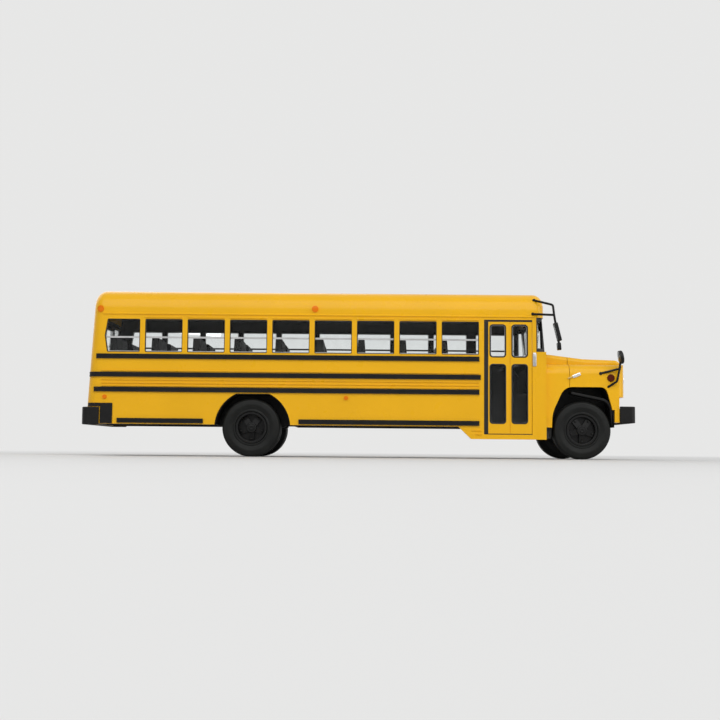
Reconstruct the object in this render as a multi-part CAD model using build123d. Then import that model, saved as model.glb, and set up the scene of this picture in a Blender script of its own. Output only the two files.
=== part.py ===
from build123d import *
from functools import cache
from math import atan2, degrees, floor, hypot
import os

# A 1:43 display model of a conventional school bus, in millimetres.
# +X points to the front, +Y to the bus's left and +Z up.
# The origin lies on the ground, under the middle of the model's length.

# Lengths along the bus
coach_length = 194.5  # foot of the rear wall to the cowl seam
hood_length = 33.5  # cowl seam to the grille panel
rear_bumper_reach = 1.1  # bumper's back face behind the rear wall's foot
front_bumper_reach = 4.6  # bumper's face ahead of the grille panel
wheelbase = 139.75
front_axle_setback = 18.05  # front axle behind the grille panel
hood_seam_setback = 23.35  # rear edge of the opening hood behind the grille panel

# Widths
body_width = 56.5
fender_width = 53.0
hood_width = 42.0
wall = 1.2  # thickness of every cast panel
glass = 0.7  # thickness of the clear glazing
seat_gap = 0.03  # clearance of pressed and glued fits
panel_gap = 0.12  # clearance round a door in its opening

# Heights
tyre_diameter = 24.5
skirt_z = 13.4
side_height = 30.3  # skirt edge to window sill
window_height = 14.1
header_height = 2.0  # top of the windows to the roof joint
roof_rise = 12.05  # roof joint to the crown
step_drop = 5.2  # entrance panel below the skirt
cowl_rise = 1.5  # foot of the windscreen above the window sill
hood_drop = 2.7  # hood top at the nose below the foot of the windscreen
hood_fall = 0.5  # fall of the hood from its knee to the nose
hood_rise = 2.1  # rise of the hood from its knee back to the cowl
fender_drop = 2.1  # fender top below the hood top

# Rounding of the body
crown_rise = 2.8
roof_corner_radius = 8.0
rear_lean = 2.4  # how far the rear wall leans in from the skirt to the roof joint
rear_corner_radius = 4.5
brow_bow = 0.7  # bow of the front brow in plan
brow_radius = 4.4
brow_depth = 4.2  # solid depth of the brow behind its foremost point

# Side windows
window_width = 15.8
window_pitch = 17.92
window_corner = 0.6
rear_window_point = 1.1  # how far the rearmost pane is pointed
sash_depth = 0.3
sash_bar = 0.75  # height of the bar across each window
sash_bar_rise = 6.4  # the bar's middle above the sill
sash_sill = 0.6
sash_head = 0.3
sash_stile = 0.25

# Entrance door
door_width = 20.4
door_setback = 5.9  # door opening behind the cowl seam
door_head = 1.1  # top of the opening below the roof joint
door_sill = 2.0  # foot of the opening above the entrance panel's edge
door_recess = 0.25
seal_rear = 1.8
seal_edge = 0.35
seal_top = 0.8
door_pane_width = 7.1
door_pane_shift = -0.55  # panes sit off the middle of their leaves
upper_pane_height = 14.2
lower_pane_height = 25.45
upper_pane_drop = 1.05  # below the leaf's top edge
pane_spacing = 2.6  # between upper and lower panes
pane_corner = 1.5

# Rails, ribs and eyebrows of the sides
rail_height = 2.0
rail_proud = 0.6
rail_groove = 0.2
rib_height = 0.6
rib_proud = 0.4
eyebrow_height = 0.8
eyebrow_gap = 0.5
drip_height = 0.7  # rain gutter along the roof joint
drip_proud = 0.35

# Windscreen
post_setback = 4.2  # front edge of the side wall behind the cowl seam, at the windows
screen_foot_setback = 0.25  # foot of the windscreen behind the cowl seam
screen_head_setback = 1.5  # head of the windscreen behind the cowl seam
screen_width = 51.0
screen_border = 1.5
centre_bar = 1.6
quarter_pane = 2.9

# Front sheet metal
shoulder_radius = 4.5
hood_edge_radius = 1.8
nose_corner_radius = 3.5
nose_radius = 3.0
hood_nose_setback = 0.6
hood_knee_setback = 16.6  # knee of the hood's top line behind the grille panel
grille_panel_height = 14.0  # fender top to the lower edge of the grille panel
lower_nose_setback = 2.4
fender_tip_z = 15.7
fender_tip_height = 5.3
fender_tip_setback = 4.35  # rear edge of the fender's tip behind the grille panel
seam_gap = 0.2

# Grille and headlamps
grille_width = 30.0
grille_height = 8.0
grille_drop = 3.8  # below the fender top
grille_columns = 10
grille_rows = 3
grille_bar = 0.55
bezel_size = 6.2
bezel_height = 8.6
bezel_spacing = 40.6  # between the two bezels' middles
headlamp_radius = 2.3
turn_lamp_height = 1.7

# Bumpers
bumper_thickness = 0.9
bumper_edge_radius = 0.35
front_bumper_width = 54.0
front_bumper_z = 15.5
front_bumper_height = 7.0
front_bumper_wrap = 6.8
rear_bumper_z = 13.0
rear_bumper_height = 7.4
rear_bumper_wrap = 7.4
rear_bumper_clearance = 0.2
bumper_corner_radius = 2.4
guard_length = 11.8
guard_foot = 0.15  # above the skirt edge
guard_height = 8.55
guard_step = 5.15  # length of the full height part of the guard
guard_strip = 1.4
guard_proud = 0.35

# Wheels
tyre_width = 6.4
rear_tyre_width = 6.0
twin_gap = 0.8
tyre_bore_radius = 6.55
bead_ridge = 0.45  # raised ring on the sidewall next to the rim
tread_groove = 0.5
front_wheel_inset = 0.6  # tyre's outer face inside the fender
rear_wheel_inset = 0.9
rim_thickness = 0.95
hub_radius = 2.2
spoke_count = 5
spoke_width = 2.4
spoke_thickness = 1.5
rear_dish = 2.2
pin_radius = 0.9
pin_clearance = 0.07
arch_gap = 3.8  # rear arch's radius beyond the tyre's
arch_lead = 0.55  # rear arch's middle ahead of the axle
arch_sink = 0.2  # rear arch's middle below the axle
arch_top_gap = 2.0  # flat top of the rear arch above the tyre
front_arch_gap = 6.1  # flat top of the front arch above the tyre
liner = 0.8  # thickness of the wheel houses
liner_lip = 0.4  # how far the rear wheel house shows inside its arch
rear_house_depth = 14.6
front_house_depth = 12.4
house_lift = 0.2  # foot of the houses above the skirt edge

# Cabin
floor_thickness = 1.0
seat_pitch = 17.5
seat_width = 20.4
seat_depth = 8.6
seat_top = 22.4  # above the floor
cushion_top = 9.8
backrest = 4.6  # thickness at the cushion
backrest_top = 2.7  # thickness at the top
backrest_slope = 0.9  # how far the back's rear face leans forward
seat_edge_radius = 0.9
first_seat = 9.1  # rear wall's foot to the first backrest's foot
driver_seat_width = 11.0
driver_inset = 12.0  # middle of the driver's seat inside the left wall
steering_radius = 4.8
steering_rim = 0.5

# Chassis
base_thickness = 1.2
base_recess = 4.0  # underside of the base plate above the skirt edge
base_clearance = 0.15
base_neck = 24.0  # width of the base plate under the hood
rail_spacing = 20.0  # between the middles of the frame rails
rail_width = 2.0
rail_depth = 3.7
rail_flange = 0.5
cross_member = 2.2
shaft_radius = 1.1
shaft_drop = 1.9  # propeller shaft's front end below the base plate
shaft_rise = 2.2  # propeller shaft's rear end above the axle
shaft_clearance = 0.4
horn_setback = 3.9  # front end of the rails behind the grille panel
horn_length = 1.3
horn_z = 16.3  # underside of the arms that carry the front bumper
horn_height = 3.9
neck_setback = 5.6  # front end of the base plate behind the grille panel
silencer_radius = 1.7
bracket_width = 4.0  # rear bumper's brackets
bracket_height = 4.0
spring_length = 27.0
spring_drop = 1.9
spring_leaf = 0.9
boss_radius = 2.8
screw_radius = 1.25
screw_depth = 8.0
boss_cap = 1.4
rear_screw_reach = 30.3  # rear screw ahead of the rear wall's foot
front_screw_setback = 9.7  # front screw behind the grille panel

# Mirrors
tube_radius = 0.48
mirror_reach = 4.6  # mirror's middle outside the body side
mirror_width = 4.2
mirror_height = 7.8
mirror_thickness = 1.35
mirror_slant = 14.0
spot_slant = 5.0
mirror_foot_radius = 0.7
spot_mirror_height = 3.1
disc_radius = 2.85
disc_thickness = 1.5

# Lamps
warning_radius = 1.75
warning_proud = 0.4
marker_radius = 0.9
roof_marker_radius = 1.4
marker_proud = 0.45
fender_lamp_radius = 1.6
tail_radius = 1.6

# Emergency door
exit_width = 15.0
exit_z = 18.4
exit_head = 2.0  # top of the exit below the roof joint

# Places worked out from the sizes above
overall_length = rear_bumper_reach + coach_length + hood_length + front_bumper_reach
rear_end = -overall_length / 2
front_end = overall_length / 2
coach_rear = rear_end + rear_bumper_reach
cowl_x = coach_rear + coach_length
hood_front = cowl_x + hood_length
front_axle_x = hood_front - front_axle_setback
rear_axle_x = front_axle_x - wheelbase
hood_seam_x = hood_front - hood_seam_setback
tyre_radius = tyre_diameter / 2
axle_z = tyre_radius
half_width = body_width / 2
half_fender = fender_width / 2
sill_z = skirt_z + side_height
window_top_z = sill_z + window_height
eave_z = window_top_z + header_height
roof_z = eave_z + roof_rise
cowl_top_z = sill_z + cowl_rise
hood_top_z = cowl_top_z - hood_drop
fender_top_z = hood_top_z - fender_drop
step_z = skirt_z - step_drop
grille_foot_z = fender_top_z - grille_panel_height
rear_corner_depth = rear_lean + rear_corner_radius + 0.1
side_rear_x = coach_rear + rear_corner_depth
post_x = cowl_x - post_setback
door_front_x = cowl_x - door_setback
door_rear_x = door_front_x - door_width
arch_x = rear_axle_x + arch_lead
rear_arch_top = axle_z + tyre_radius + arch_top_gap
front_arch_top = axle_z + tyre_radius + front_arch_gap
floor_under_z = rear_arch_top + liner - liner_lip
floor_z = floor_under_z + floor_thickness
base_z = skirt_z + base_recess
base_top_z = base_z + base_thickness
inner_half = half_width - wall
driver_y = inner_half - driver_inset
far = 200.0  # past every face, for cutting tools


# Tools for drawing


def block(x0, x1, y0, y1, z0, z1):
    """A rectangular block between two corners."""
    return Pos((x0 + x1) / 2, (y0 + y1) / 2, (z0 + z1) / 2) * Box(x1 - x0, y1 - y0, z1 - z0)


def outline(points, radii):
    """A closed outline with each corner rounded by its own radius."""
    return make_face(FilletPolyline(*points, radius=radii, close=True))


def rounded_rectangle(x0, x1, z0, z1, radius):
    """A rectangle with four equal round corners."""
    return outline([(x0, z0), (x1, z0), (x1, z1), (x0, z1)], [radius] * 4)


def from_side(face, y0, y1):
    """A face drawn in length and height, made solid from y0 to y1."""
    return extrude(Plane.XZ.offset(-y1) * face, amount=y1 - y0)


def from_front(face, x0, x1):
    """A face drawn in width and height, made solid from x0 to x1."""
    return extrude(Plane.YZ.offset(x0) * face, amount=x1 - x0)


def from_above(face, z0, z1):
    """A face drawn in length and width, made solid from z0 to z1."""
    return extrude(Plane.XY.offset(z0) * face, amount=z1 - z0)


def both_sides(piece):
    """A piece of the right side and its mirror image on the left."""
    return [piece, mirror(piece, about=Plane.XZ)]


def rod(start, end, radius):
    """A round bar between two points."""
    path = Line(start, end)
    return sweep(Plane(path @ 0, z_dir=path % 0) * Circle(radius), path=path)


def bent_tube(points, radii, radius):
    """A round tube along straight runs joined by arcs."""
    path = FilletPolyline(*points, radius=radii)
    return sweep(Plane(path @ 0, z_dir=path % 0) * Circle(radius), path=path)


# Main forms of the body


@cache
def coach_form(inset):
    """The coach's outer form, with every face drawn in by an inset."""
    half = half_width - inset
    shoulder = roof_z - crown_rise - inset
    walls = Polyline((half, shoulder), (half, 0), (-half, 0), (-half, shoulder))
    crown = ThreePointArc((-half, shoulder), (0, roof_z - inset), (half, shoulder))
    section = make_face(walls + crown)
    section = fillet(section.vertices().group_by(Axis.Y)[-1], roof_corner_radius - inset)
    hull = from_front(section, coach_rear - 10.0, cowl_x + 10.0)

    slope = rear_lean / (eave_z - skirt_z)
    foot_x = coach_rear + inset
    rear_line = [(foot_x - slope * skirt_z, 0), (foot_x + slope * (far - skirt_z), far)]
    profile = make_face(Polyline(*rear_line, (far, far), (far, 0), close=True))
    hull = hull & from_side(profile, -far, far)
    rear_edges = hull.faces().sort_by(Axis.X)[0].edges().sort_by(Axis.Z)[1:]
    hull = fillet(rear_edges, rear_corner_radius - inset)

    bow_radius = (half_width**2 + brow_bow**2) / (2 * brow_bow)
    bow = Pos(cowl_x - seam_gap - inset - bow_radius, 0) * Circle(bow_radius)
    hull = hull & from_above(bow, 0, far)
    brow_edges = hull.faces().sort_by(Axis.X)[-1].edges().sort_by(Axis.Z)[1:]
    return fillet(brow_edges, max(brow_radius - inset, 0.3))


@cache
def front_form(inset):
    """Fenders with round shoulders and the raised hood between them, drawn in by an inset."""
    half = half_fender - inset
    top = fender_top_z - inset
    start = cowl_x - inset
    front = hood_front - inset
    section = outline(
        [(-half, 0), (-half, top), (half, top), (half, 0)],
        [0, shoulder_radius - inset, shoulder_radius - inset, 0],
    )
    plan = outline(
        [(start, -half), (front, -half), (front, half), (start, half)],
        [0, nose_corner_radius - inset, nose_corner_radius - inset, 0],
    )
    fenders = from_front(section, start, front) & from_above(plan, 0, top)

    half_hood = hood_width / 2 - inset
    hood_foot = top - shoulder_radius
    nose_top = hood_top_z - inset
    knee_top = nose_top + hood_fall
    hood_end = front - hood_nose_setback
    knee_x = front - hood_knee_setback
    raised = outline(
        [(-half_hood, hood_foot), (-half_hood, knee_top), (half_hood, knee_top), (half_hood, hood_foot)],
        [0, hood_edge_radius, hood_edge_radius, 0],
    )
    ahead = hood_end - knee_x
    behind = knee_x - start
    at_cowl = Plane.YZ.offset(start) * Pos(0, hood_rise) * raised
    at_knee = Plane.YZ.offset(knee_x) * raised
    hood = extrude(at_cowl, amount=hypot(behind, hood_rise), dir=(behind, 0, -hood_rise))
    hood += extrude(at_knee, amount=hypot(ahead, hood_fall), dir=(ahead, 0, -hood_fall))
    side = outline(
        [(start, 0), (start, knee_top + hood_rise), (knee_x, knee_top), (hood_end, nose_top), (hood_end, 0)],
        [0, 0, 0, nose_radius, 0],
    )
    return fenders + (hood & from_side(side, -far, far))


coach = coach_form(0)
coach_inside = coach_form(wall)
coach_shell = coach - coach_inside


def rear_arch(grow):
    """Outline of the rear wheel arch: a circle with a flat top."""
    radius = tyre_radius + arch_gap + grow
    top = rear_arch_top + grow
    circle = Pos(arch_x, axle_z - arch_sink) * Circle(radius)
    return circle & (Pos(arch_x, top - radius) * Rectangle(2 * radius, 2 * radius))


def front_arch(grow):
    """Outline of the front wheel arch: a flat top, a slanting rear edge and a steep front edge."""
    top = front_arch_top + grow
    rear_foot = front_axle_x - tyre_radius - 1.5 - grow
    front_foot = front_axle_x + tyre_radius + 1.25 + grow
    return outline(
        [
            (rear_foot, -axle_z),
            (rear_foot + 1.1, axle_z + 7.2),
            (rear_foot + 6.2, top),
            (front_foot - 3.4, top),
            (front_foot - 0.8, axle_z + 9.2),
            (front_foot, -axle_z),
        ],
        [0, 14.0, 5.5, 3.0, 12.0, 0],
    )


# Side walls


def window_spans():
    """Rear and front edges of the passenger windows, from the door backwards, and of the rearmost pane."""
    front = door_rear_x - (window_pitch - window_width)
    room = front - side_rear_x - window_pitch / 2
    count = floor(room / window_pitch)
    edges = [front - i * window_pitch for i in range(count)]
    spans = [(edge - window_width, edge) for edge in edges]
    rear_pane = (side_rear_x + 0.8, front - count * window_pitch)
    return spans, rear_pane


def plain_pane(x0, x1, inset):
    """A side window between two edges, drawn in by an inset."""
    corner = window_corner - inset
    return rounded_rectangle(x0 + inset, x1 - inset, sill_z + inset, window_top_z - inset, corner)


def pointed_pane(inset):
    """The rearmost pane, whose rear edge is pointed, drawn in by an inset."""
    x0, x1 = window_spans()[1]
    shoulder = x0 + rear_window_point + inset
    foot = sill_z + inset
    head = window_top_z - inset
    points = [
        (shoulder, foot),
        (x1 - inset, foot),
        (x1 - inset, head),
        (shoulder, head),
        (x0 + inset, (foot + head) / 2),
    ]
    return outline(points, [window_corner - inset] * 4 + [0])


def window_faces(inset):
    """Openings of the passenger windows of one side, drawn in by an inset."""
    return [plain_pane(x0, x1, inset) for x0, x1 in window_spans()[0]] + [pointed_pane(inset)]


driver_window_x = (door_rear_x + 2.0, post_x - 1.8)


def sash(outer, inner):
    """A bright sash against the glazing: a thin ring between two outlines, with a bar across it."""
    y1 = -inner_half
    y0 = y1 - sash_depth
    bar_z = sill_z + sash_bar_rise
    clear = from_side(inner, y0, y1) & block(-far, far, -far, 0, sill_z + sash_sill, window_top_z - sash_head)
    clear -= block(-far, far, -far, 0, bar_z - sash_bar / 2, bar_z + sash_bar / 2)
    return from_side(outer, y0, y1) - clear


def window_frames(entrance):
    """The sashes of one side, drawn on the right side."""
    outer = window_faces(seat_gap)
    inner = window_faces(seat_gap + sash_stile)
    if not entrance:
        outer.append(plain_pane(*driver_window_x, seat_gap))
        inner.append(plain_pane(*driver_window_x, seat_gap + sash_stile))
    return [sash(outside, inside) for outside, inside in zip(outer, inner)]


# Ridges of the sides and of the entrance panel: height above the skirt, start, end
rib_rows = [
    (15.95, side_rear_x, door_rear_x - 2.0),
    (17.2, side_rear_x, door_rear_x - 2.0),
    (18.6, side_rear_x, door_rear_x - 2.0),
    (22.35, side_rear_x, door_rear_x - 2.0),
    (-1.6, door_rear_x - 5.0, door_rear_x - 1.0),
    (-3.2, door_rear_x - 3.6, door_rear_x - 1.0),
]


def rib(height, x0, x1):
    """A shallow ridge along the right side."""
    z = skirt_z + height
    half = rib_height / 2
    root = -half_width + rib_proud
    tip = -half_width - rib_proud
    face = make_face(
        Polyline((root, z - half), (tip, z - half / 3), (tip, z + half / 3), (root, z + half), close=True)
    )
    return from_front(face, x0, x1)


def eyebrow(x0, x1):
    """The pressed ridge above a window."""
    z0 = window_top_z + eyebrow_gap
    face = make_face(
        Polyline(
            (-half_width + rib_proud, z0),
            (-half_width - rib_proud, z0),
            (-half_width - rib_proud, z0 + eyebrow_height / 2),
            (-half_width + rib_proud, z0 + eyebrow_height),
            close=True,
        )
    )
    return from_front(face, x0, x1)


def side_wall(entrance):
    """A side wall with its windows and wheel arch cut, drawn on the right side.

    The wall on the entrance side drops below the skirt at its front and has the door's opening."""
    foot = step_z if entrance else skirt_z
    points = [
        (side_rear_x, skirt_z),
        (side_rear_x, eave_z),
        (post_x, eave_z),
        (post_x, cowl_top_z),
        (cowl_x, cowl_top_z),
        (cowl_x, foot),
    ]
    if entrance:
        points += [(door_rear_x - 5.4, foot), (door_rear_x - 10.8, skirt_z)]
    wall_piece = from_side(make_face(Polyline(*points, close=True)), -half_width, -inner_half)
    for x0, x1 in window_spans()[0]:
        wall_piece += eyebrow(x0, x1)
    for height, x0, x1 in rib_rows[: len(rib_rows) if entrance else 4]:
        wall_piece += rib(height, x0, x1)
    openings = window_faces(0) + [rear_arch(0)]
    if entrance:
        door_foot = step_z + door_sill
        openings.append(rounded_rectangle(door_rear_x, door_front_x, door_foot, eave_z - door_head, 0))
    else:
        openings.append(rounded_rectangle(*driver_window_x, sill_z, window_top_z, window_corner))
    for face in openings:
        wall_piece -= from_side(face, -far, 0)
    return wall_piece


def side_rail(z, x0, x1):
    """A grooved rub rail along the right side, from x0 to x1, round the rear corner where x0 reaches it."""
    band = block(x0, x1, -far, 0, z - rail_height / 2, z + rail_height / 2)
    groove = block(x0, x1, -far, 0, z - rail_groove, z + rail_groove)
    rail = (coach_form(-rail_proud) - coach) & band
    return rail - ((coach_form(-rail_proud) - coach_form(rail_groove - rail_proud)) & groove)


# Rub rails: height, rear end, front end on the entrance side
entrance_rail_end = door_rear_x - 2.0
arch_reach = tyre_radius + arch_gap
rail_rows = [
    (sill_z - 1.8, side_rear_x - 2.5, entrance_rail_end),
    (sill_z - 9.5, coach_rear + 1.5, entrance_rail_end + 0.6),
    (sill_z - 15.8, side_rear_x - 3.2, entrance_rail_end),
    (skirt_z + 1.4, side_rear_x + 6.8, arch_x - arch_reach - 4.7),
    (skirt_z + 1.4, arch_x + arch_reach + 3.4, entrance_rail_end),
]
driver_rail_end = post_x - 3.0


def rub_rails(entrance):
    """All rails of one side, drawn on the right side."""
    rails = []
    for z, x0, x1 in rail_rows:
        reaches_front = x1 >= entrance_rail_end
        rails.append(side_rail(z, x0, driver_rail_end if reaches_front and not entrance else x1))
    return rails


# Entrance door

leaf_x0 = door_rear_x + seal_rear
leaf_x1 = door_front_x - panel_gap
leaf_z0 = step_z + door_sill + seal_edge
leaf_z1 = eave_z - door_head - seal_top
leaf_fold_x = (leaf_x0 + leaf_x1) / 2
upper_pane_top = leaf_z1 - upper_pane_drop
lower_pane_top = upper_pane_top - upper_pane_height - pane_spacing


def door_panes(grow):
    """Openings of the four door panes, enlarged by a margin."""
    faces = []
    for middle in ((leaf_x0 + leaf_fold_x) / 2, (leaf_fold_x + leaf_x1) / 2):
        x0 = middle + door_pane_shift - door_pane_width / 2 - grow
        x1 = middle + door_pane_shift + door_pane_width / 2 + grow
        for top, height in ((upper_pane_top, upper_pane_height), (lower_pane_top, lower_pane_height)):
            faces.append(rounded_rectangle(x0, x1, top - height - grow, top + grow, pane_corner + grow))
    return faces


def entrance_door():
    """Two door leaves in one moulding, parted by a groove."""
    leaf = block(leaf_x0, leaf_x1, -half_width + door_recess, -inner_half, leaf_z0, leaf_z1)
    groove = 0.15
    groove_y = -half_width + 2 * door_recess
    leaf -= block(leaf_fold_x - groove, leaf_fold_x + groove, -far, groove_y, leaf_z0, leaf_z1)
    for face in door_panes(0):
        leaf -= from_side(face, -far, 0)
    return leaf


def door_seal():
    """The rubber along the top, the foot and the rear edge of the door, wide along the rear edge."""
    frame = block(
        door_rear_x,
        door_front_x,
        -half_width + door_recess / 2,
        -inner_half,
        step_z + door_sill,
        eave_z - door_head,
    )
    return frame - block(leaf_x0, far, -far, 0, leaf_z0, leaf_z1)


# Rear wall


def rear_wall():
    """The rear wall with its round corners, two windows and the emergency door's opening."""
    piece = coach_shell & block(-far, side_rear_x, -far, far, skirt_z, eave_z)
    inner = exit_width / 2 + 2.2
    outer = half_width - rear_corner_radius - 0.6
    for y0, y1 in ((inner, outer), (-outer, -inner)):
        piece -= from_front(rounded_rectangle(y0, y1, sill_z, window_top_z, 1.2), -far, side_rear_x)
    half_exit = exit_width / 2
    opening = rounded_rectangle(-half_exit, half_exit, exit_z, eave_z - exit_head, 1.5)
    return piece - from_front(opening, -far, side_rear_x)


def emergency_door():
    """The rear exit, set a little into the wall, with a window over a pressed lower panel."""
    half_exit = exit_width / 2 - panel_gap
    leaf = rounded_rectangle(
        -half_exit, half_exit, exit_z + panel_gap, eave_z - exit_head - panel_gap, 1.5 - panel_gap
    )
    skin = coach_form(door_recess) - coach_inside
    door = skin & from_front(leaf, -far, side_rear_x)
    half_pane = half_exit - 1.8
    pane = rounded_rectangle(-half_pane, half_pane, sill_z, window_top_z - 1.6, 1.2)
    pressing = rounded_rectangle(-half_pane, half_pane, exit_z + 3.0, sill_z - 4.5, 1.2)
    door -= from_front(pane, -far, side_rear_x)
    return door - ((coach - coach_form(2 * door_recess)) & from_front(pressing, -far, side_rear_x))


def exit_handle():
    """The lever of the emergency door on its round foot."""
    y = exit_width / 2 - 2.4
    z = sill_z - 2.4
    wall_x = coach_rear + rear_lean * (z - skirt_z) / (eave_z - skirt_z)
    lever = block(wall_x - 1.2, wall_x - 0.6, y - 3.6, y, z - 0.4, z + 0.4)
    lever = fillet(lever.edges().filter_by(Axis.X), 0.25)
    foot = rod((wall_x - 0.9, y, z), (wall_x + 2.0, y, z), 0.55)
    return (lever + foot) - coach_form(door_recess)


# Roof


def roof():
    """The roof vault with the rear dome, the solid front brow and a gutter along each side."""
    hollow = coach_inside & block(-far, cowl_x - seam_gap - brow_depth, -far, far, 0, far)
    vault = (coach - hollow) & block(-far, far, -far, far, eave_z, far)
    root = -half_width + wall / 2
    tip = -half_width - drip_proud
    top = eave_z + drip_height
    section = [(root, eave_z), (tip, eave_z), (tip, top - drip_proud), (root, top + wall / 2)]
    gutter = from_front(make_face(Polyline(*section, close=True)), side_rear_x, post_x - 1.0)
    for piece in both_sides(gutter):
        vault += piece
    return vault


# Windscreen


def screen_outline(inset, front_x):
    """Plan of the windscreen with its slanted quarter panes, drawn in by an inset."""
    half_screen = screen_width / 2
    dx = front_x - post_x
    dy = half_width - half_screen
    at_post = half_width - inset * hypot(dx, dy) / dx
    corner_x = front_x - inset
    corner_y = at_post - (corner_x - post_x) * dy / dx
    points = [(post_x, -at_post), (corner_x, -corner_y), (corner_x, corner_y), (post_x, at_post)]
    return make_face(Polyline(*points, close=True))


def screen_form(inset):
    """The windscreen's leaning form between its foot and the roof joint, drawn in by an inset."""
    foot = Plane.XY.offset(cowl_top_z) * screen_outline(inset, cowl_x - screen_foot_setback)
    head = Plane.XY.offset(eave_z) * screen_outline(inset, cowl_x - screen_head_setback)
    return loft([foot, head], ruled=True)


def windscreen_frame():
    """The windscreen's frame with two main panes and two quarter panes cut."""
    frame = screen_form(0) - screen_form(wall)
    z0 = cowl_top_z + screen_border
    z1 = eave_z - screen_border
    half_screen = screen_width / 2
    for y0, y1 in ((centre_bar / 2, half_screen - wall), (-half_screen + wall, -centre_bar / 2)):
        frame -= from_front(rounded_rectangle(y0, y1, z0, z1, 1.0), post_x, cowl_x)
    front_x = cowl_x - (screen_foot_setback + screen_head_setback) / 2
    turn = degrees(atan2(half_width - half_screen, front_x - post_x))
    middle = Pos((front_x + post_x) / 2, -(half_width + half_screen) / 2, (z0 + z1) / 2)
    cutter = middle * Rot(0, 0, turn) * Box(quarter_pane, 4 * wall, z1 - z0)
    for tool in both_sides(cutter):
        frame -= tool
    return frame


def windscreen_glass():
    """The clear insert behind the windscreen's frame."""
    pane = screen_form(wall) - screen_form(wall + glass)
    return pane & block(post_x, cowl_x, -far, far, cowl_top_z + 0.4, eave_z - 0.4)


# Front sheet metal


def front_sheet_metal():
    """Cowl quarters and front clip as one shell, before the seam parts them."""
    inside = front_form(wall) + block(cowl_x - far, cowl_x, -far, far, 0, far)
    shell = (front_form(0) - inside) & block(cowl_x, far, -far, far, skirt_z, far)
    shell -= from_side(front_arch(0), -far, far)
    lower_x = hood_front - lower_nose_setback
    shell -= block(lower_x, far, -far, far, 0, grille_foot_z)
    shell -= block(front_axle_x, far, -far, far, 0, fender_tip_z)
    tip_rear_x = hood_front - fender_tip_setback
    shell -= block(front_axle_x, tip_rear_x, -far, far, 0, fender_tip_z + fender_tip_height)
    tip = block(lower_x - 0.8, lower_x, -half_fender, -half_fender + 9.0, fender_tip_z, grille_foot_z)
    shelf_half = half_fender - 2.6
    shelf = block(
        lower_x - 0.8, hood_front - 1.0, -shelf_half, shelf_half, grille_foot_z, grille_foot_z + 0.8
    )
    for piece in [*both_sides(tip), shelf]:
        shell += piece
    return shell


def grille_opening(grow):
    """The grille's place in the front panel, enlarged by a margin."""
    top = fender_top_z - grille_drop + grow
    half = grille_width / 2 + grow
    return rounded_rectangle(-half, half, top - grille_height - 2 * grow, top, 0.8)


def bezel_face(shrink):
    """The place of the right headlamp's bezel, drawn in by a margin."""
    top = fender_top_z - grille_drop + 0.3
    middle = -bezel_spacing / 2
    half = bezel_size / 2 - shrink
    return rounded_rectangle(middle - half, middle + half, top - bezel_height + shrink, top - shrink, 0.6)


lamp_y = -bezel_spacing / 2
lamp_z = fender_top_z - grille_drop + 0.3 - 0.6 - headlamp_radius - 0.2
turn_lamp_z = lamp_z - headlamp_radius - 0.7 - turn_lamp_height / 2


def hood_and_fenders(shell):
    """The opening front clip, ahead of the hood seam, with openings for grille and headlamps."""
    clip = shell & block(hood_seam_x + seam_gap / 2, far, -far, far, 0, far)
    clip -= from_front(grille_opening(0), hood_front - 3.0, far)
    for tool in both_sides(from_front(bezel_face(0), hood_front - 3.0, far)):
        clip -= tool
    return clip


def cowl_quarters(shell):
    """The fixed sheet metal between the cowl and the hood seam."""
    return shell & block(0, hood_seam_x - seam_gap / 2, -far, far, 0, far)


def grille():
    """An egg crate grille: rows of pockets between thin bars, in one moulding."""
    x0 = hood_front - wall
    x1 = hood_front - 0.15
    piece = from_front(grille_opening(-seat_gap), x0, x1)
    top = fender_top_z - grille_drop
    cell_width = (grille_width - grille_bar) / grille_columns
    cell_height = (grille_height - grille_bar) / grille_rows
    for row in range(grille_rows):
        for column in range(grille_columns):
            y0 = -grille_width / 2 + grille_bar + column * cell_width
            z0 = top - grille_height + grille_bar + row * cell_height
            y1 = y0 + cell_width - grille_bar
            z1 = z0 + cell_height - grille_bar
            piece -= block(x0 + 0.35, far, y0, y1, z0, z1)
    return piece


def headlamp_bezels():
    """Bright surrounds with a round hole for the headlamp over a slot for the turn lamp."""
    plate = from_front(bezel_face(seat_gap), hood_front - wall, hood_front + 0.1)
    plate -= from_front(Pos(lamp_y, lamp_z) * Circle(headlamp_radius), 0, far)
    plate -= from_front(Pos(lamp_y, turn_lamp_z) * Rectangle(bezel_size - 1.4, turn_lamp_height), 0, far)
    return both_sides(plate)


def headlamps():
    """Round lenses with a domed front."""
    disc = Pos(lamp_y, lamp_z) * Circle(headlamp_radius - seat_gap)
    lens = from_front(disc, hood_front - wall, hood_front + 0.3)
    lens = fillet(lens.faces().sort_by(Axis.X)[-1].edges(), 0.6)
    return both_sides(lens)


def front_turn_lamps():
    """Amber lenses under the headlamps."""
    width = bezel_size - 1.4 - 2 * seat_gap
    slot = Pos(lamp_y, turn_lamp_z) * Rectangle(width, turn_lamp_height - 2 * seat_gap)
    return both_sides(from_front(slot, hood_front - wall, hood_front + 0.25))


def hood_latches():
    """Draw latches across the hood seam, one on each side."""
    z = fender_top_z - 6.2
    y = -half_fender
    points = [
        (hood_seam_x - 1.1, z - 0.45),
        (hood_seam_x + 2.0, z + 0.55),
        (hood_seam_x + 5.0, z + 1.7),
        (hood_seam_x + 4.7, z + 2.8),
        (hood_seam_x + 1.7, z + 1.55),
        (hood_seam_x - 1.2, z + 0.25),
    ]
    strap = from_side(outline(points, [0.25, 0, 0.5, 0.5, 0, 0.25]), y - 0.45, y)
    return both_sides(strap)


def cowl_panel():
    """The bulkhead between the coach and the front sheet metal."""
    return block(cowl_x - 1.5, cowl_x, -inner_half, inner_half, base_top_z, cowl_top_z)


# Bumpers and guards


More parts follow.
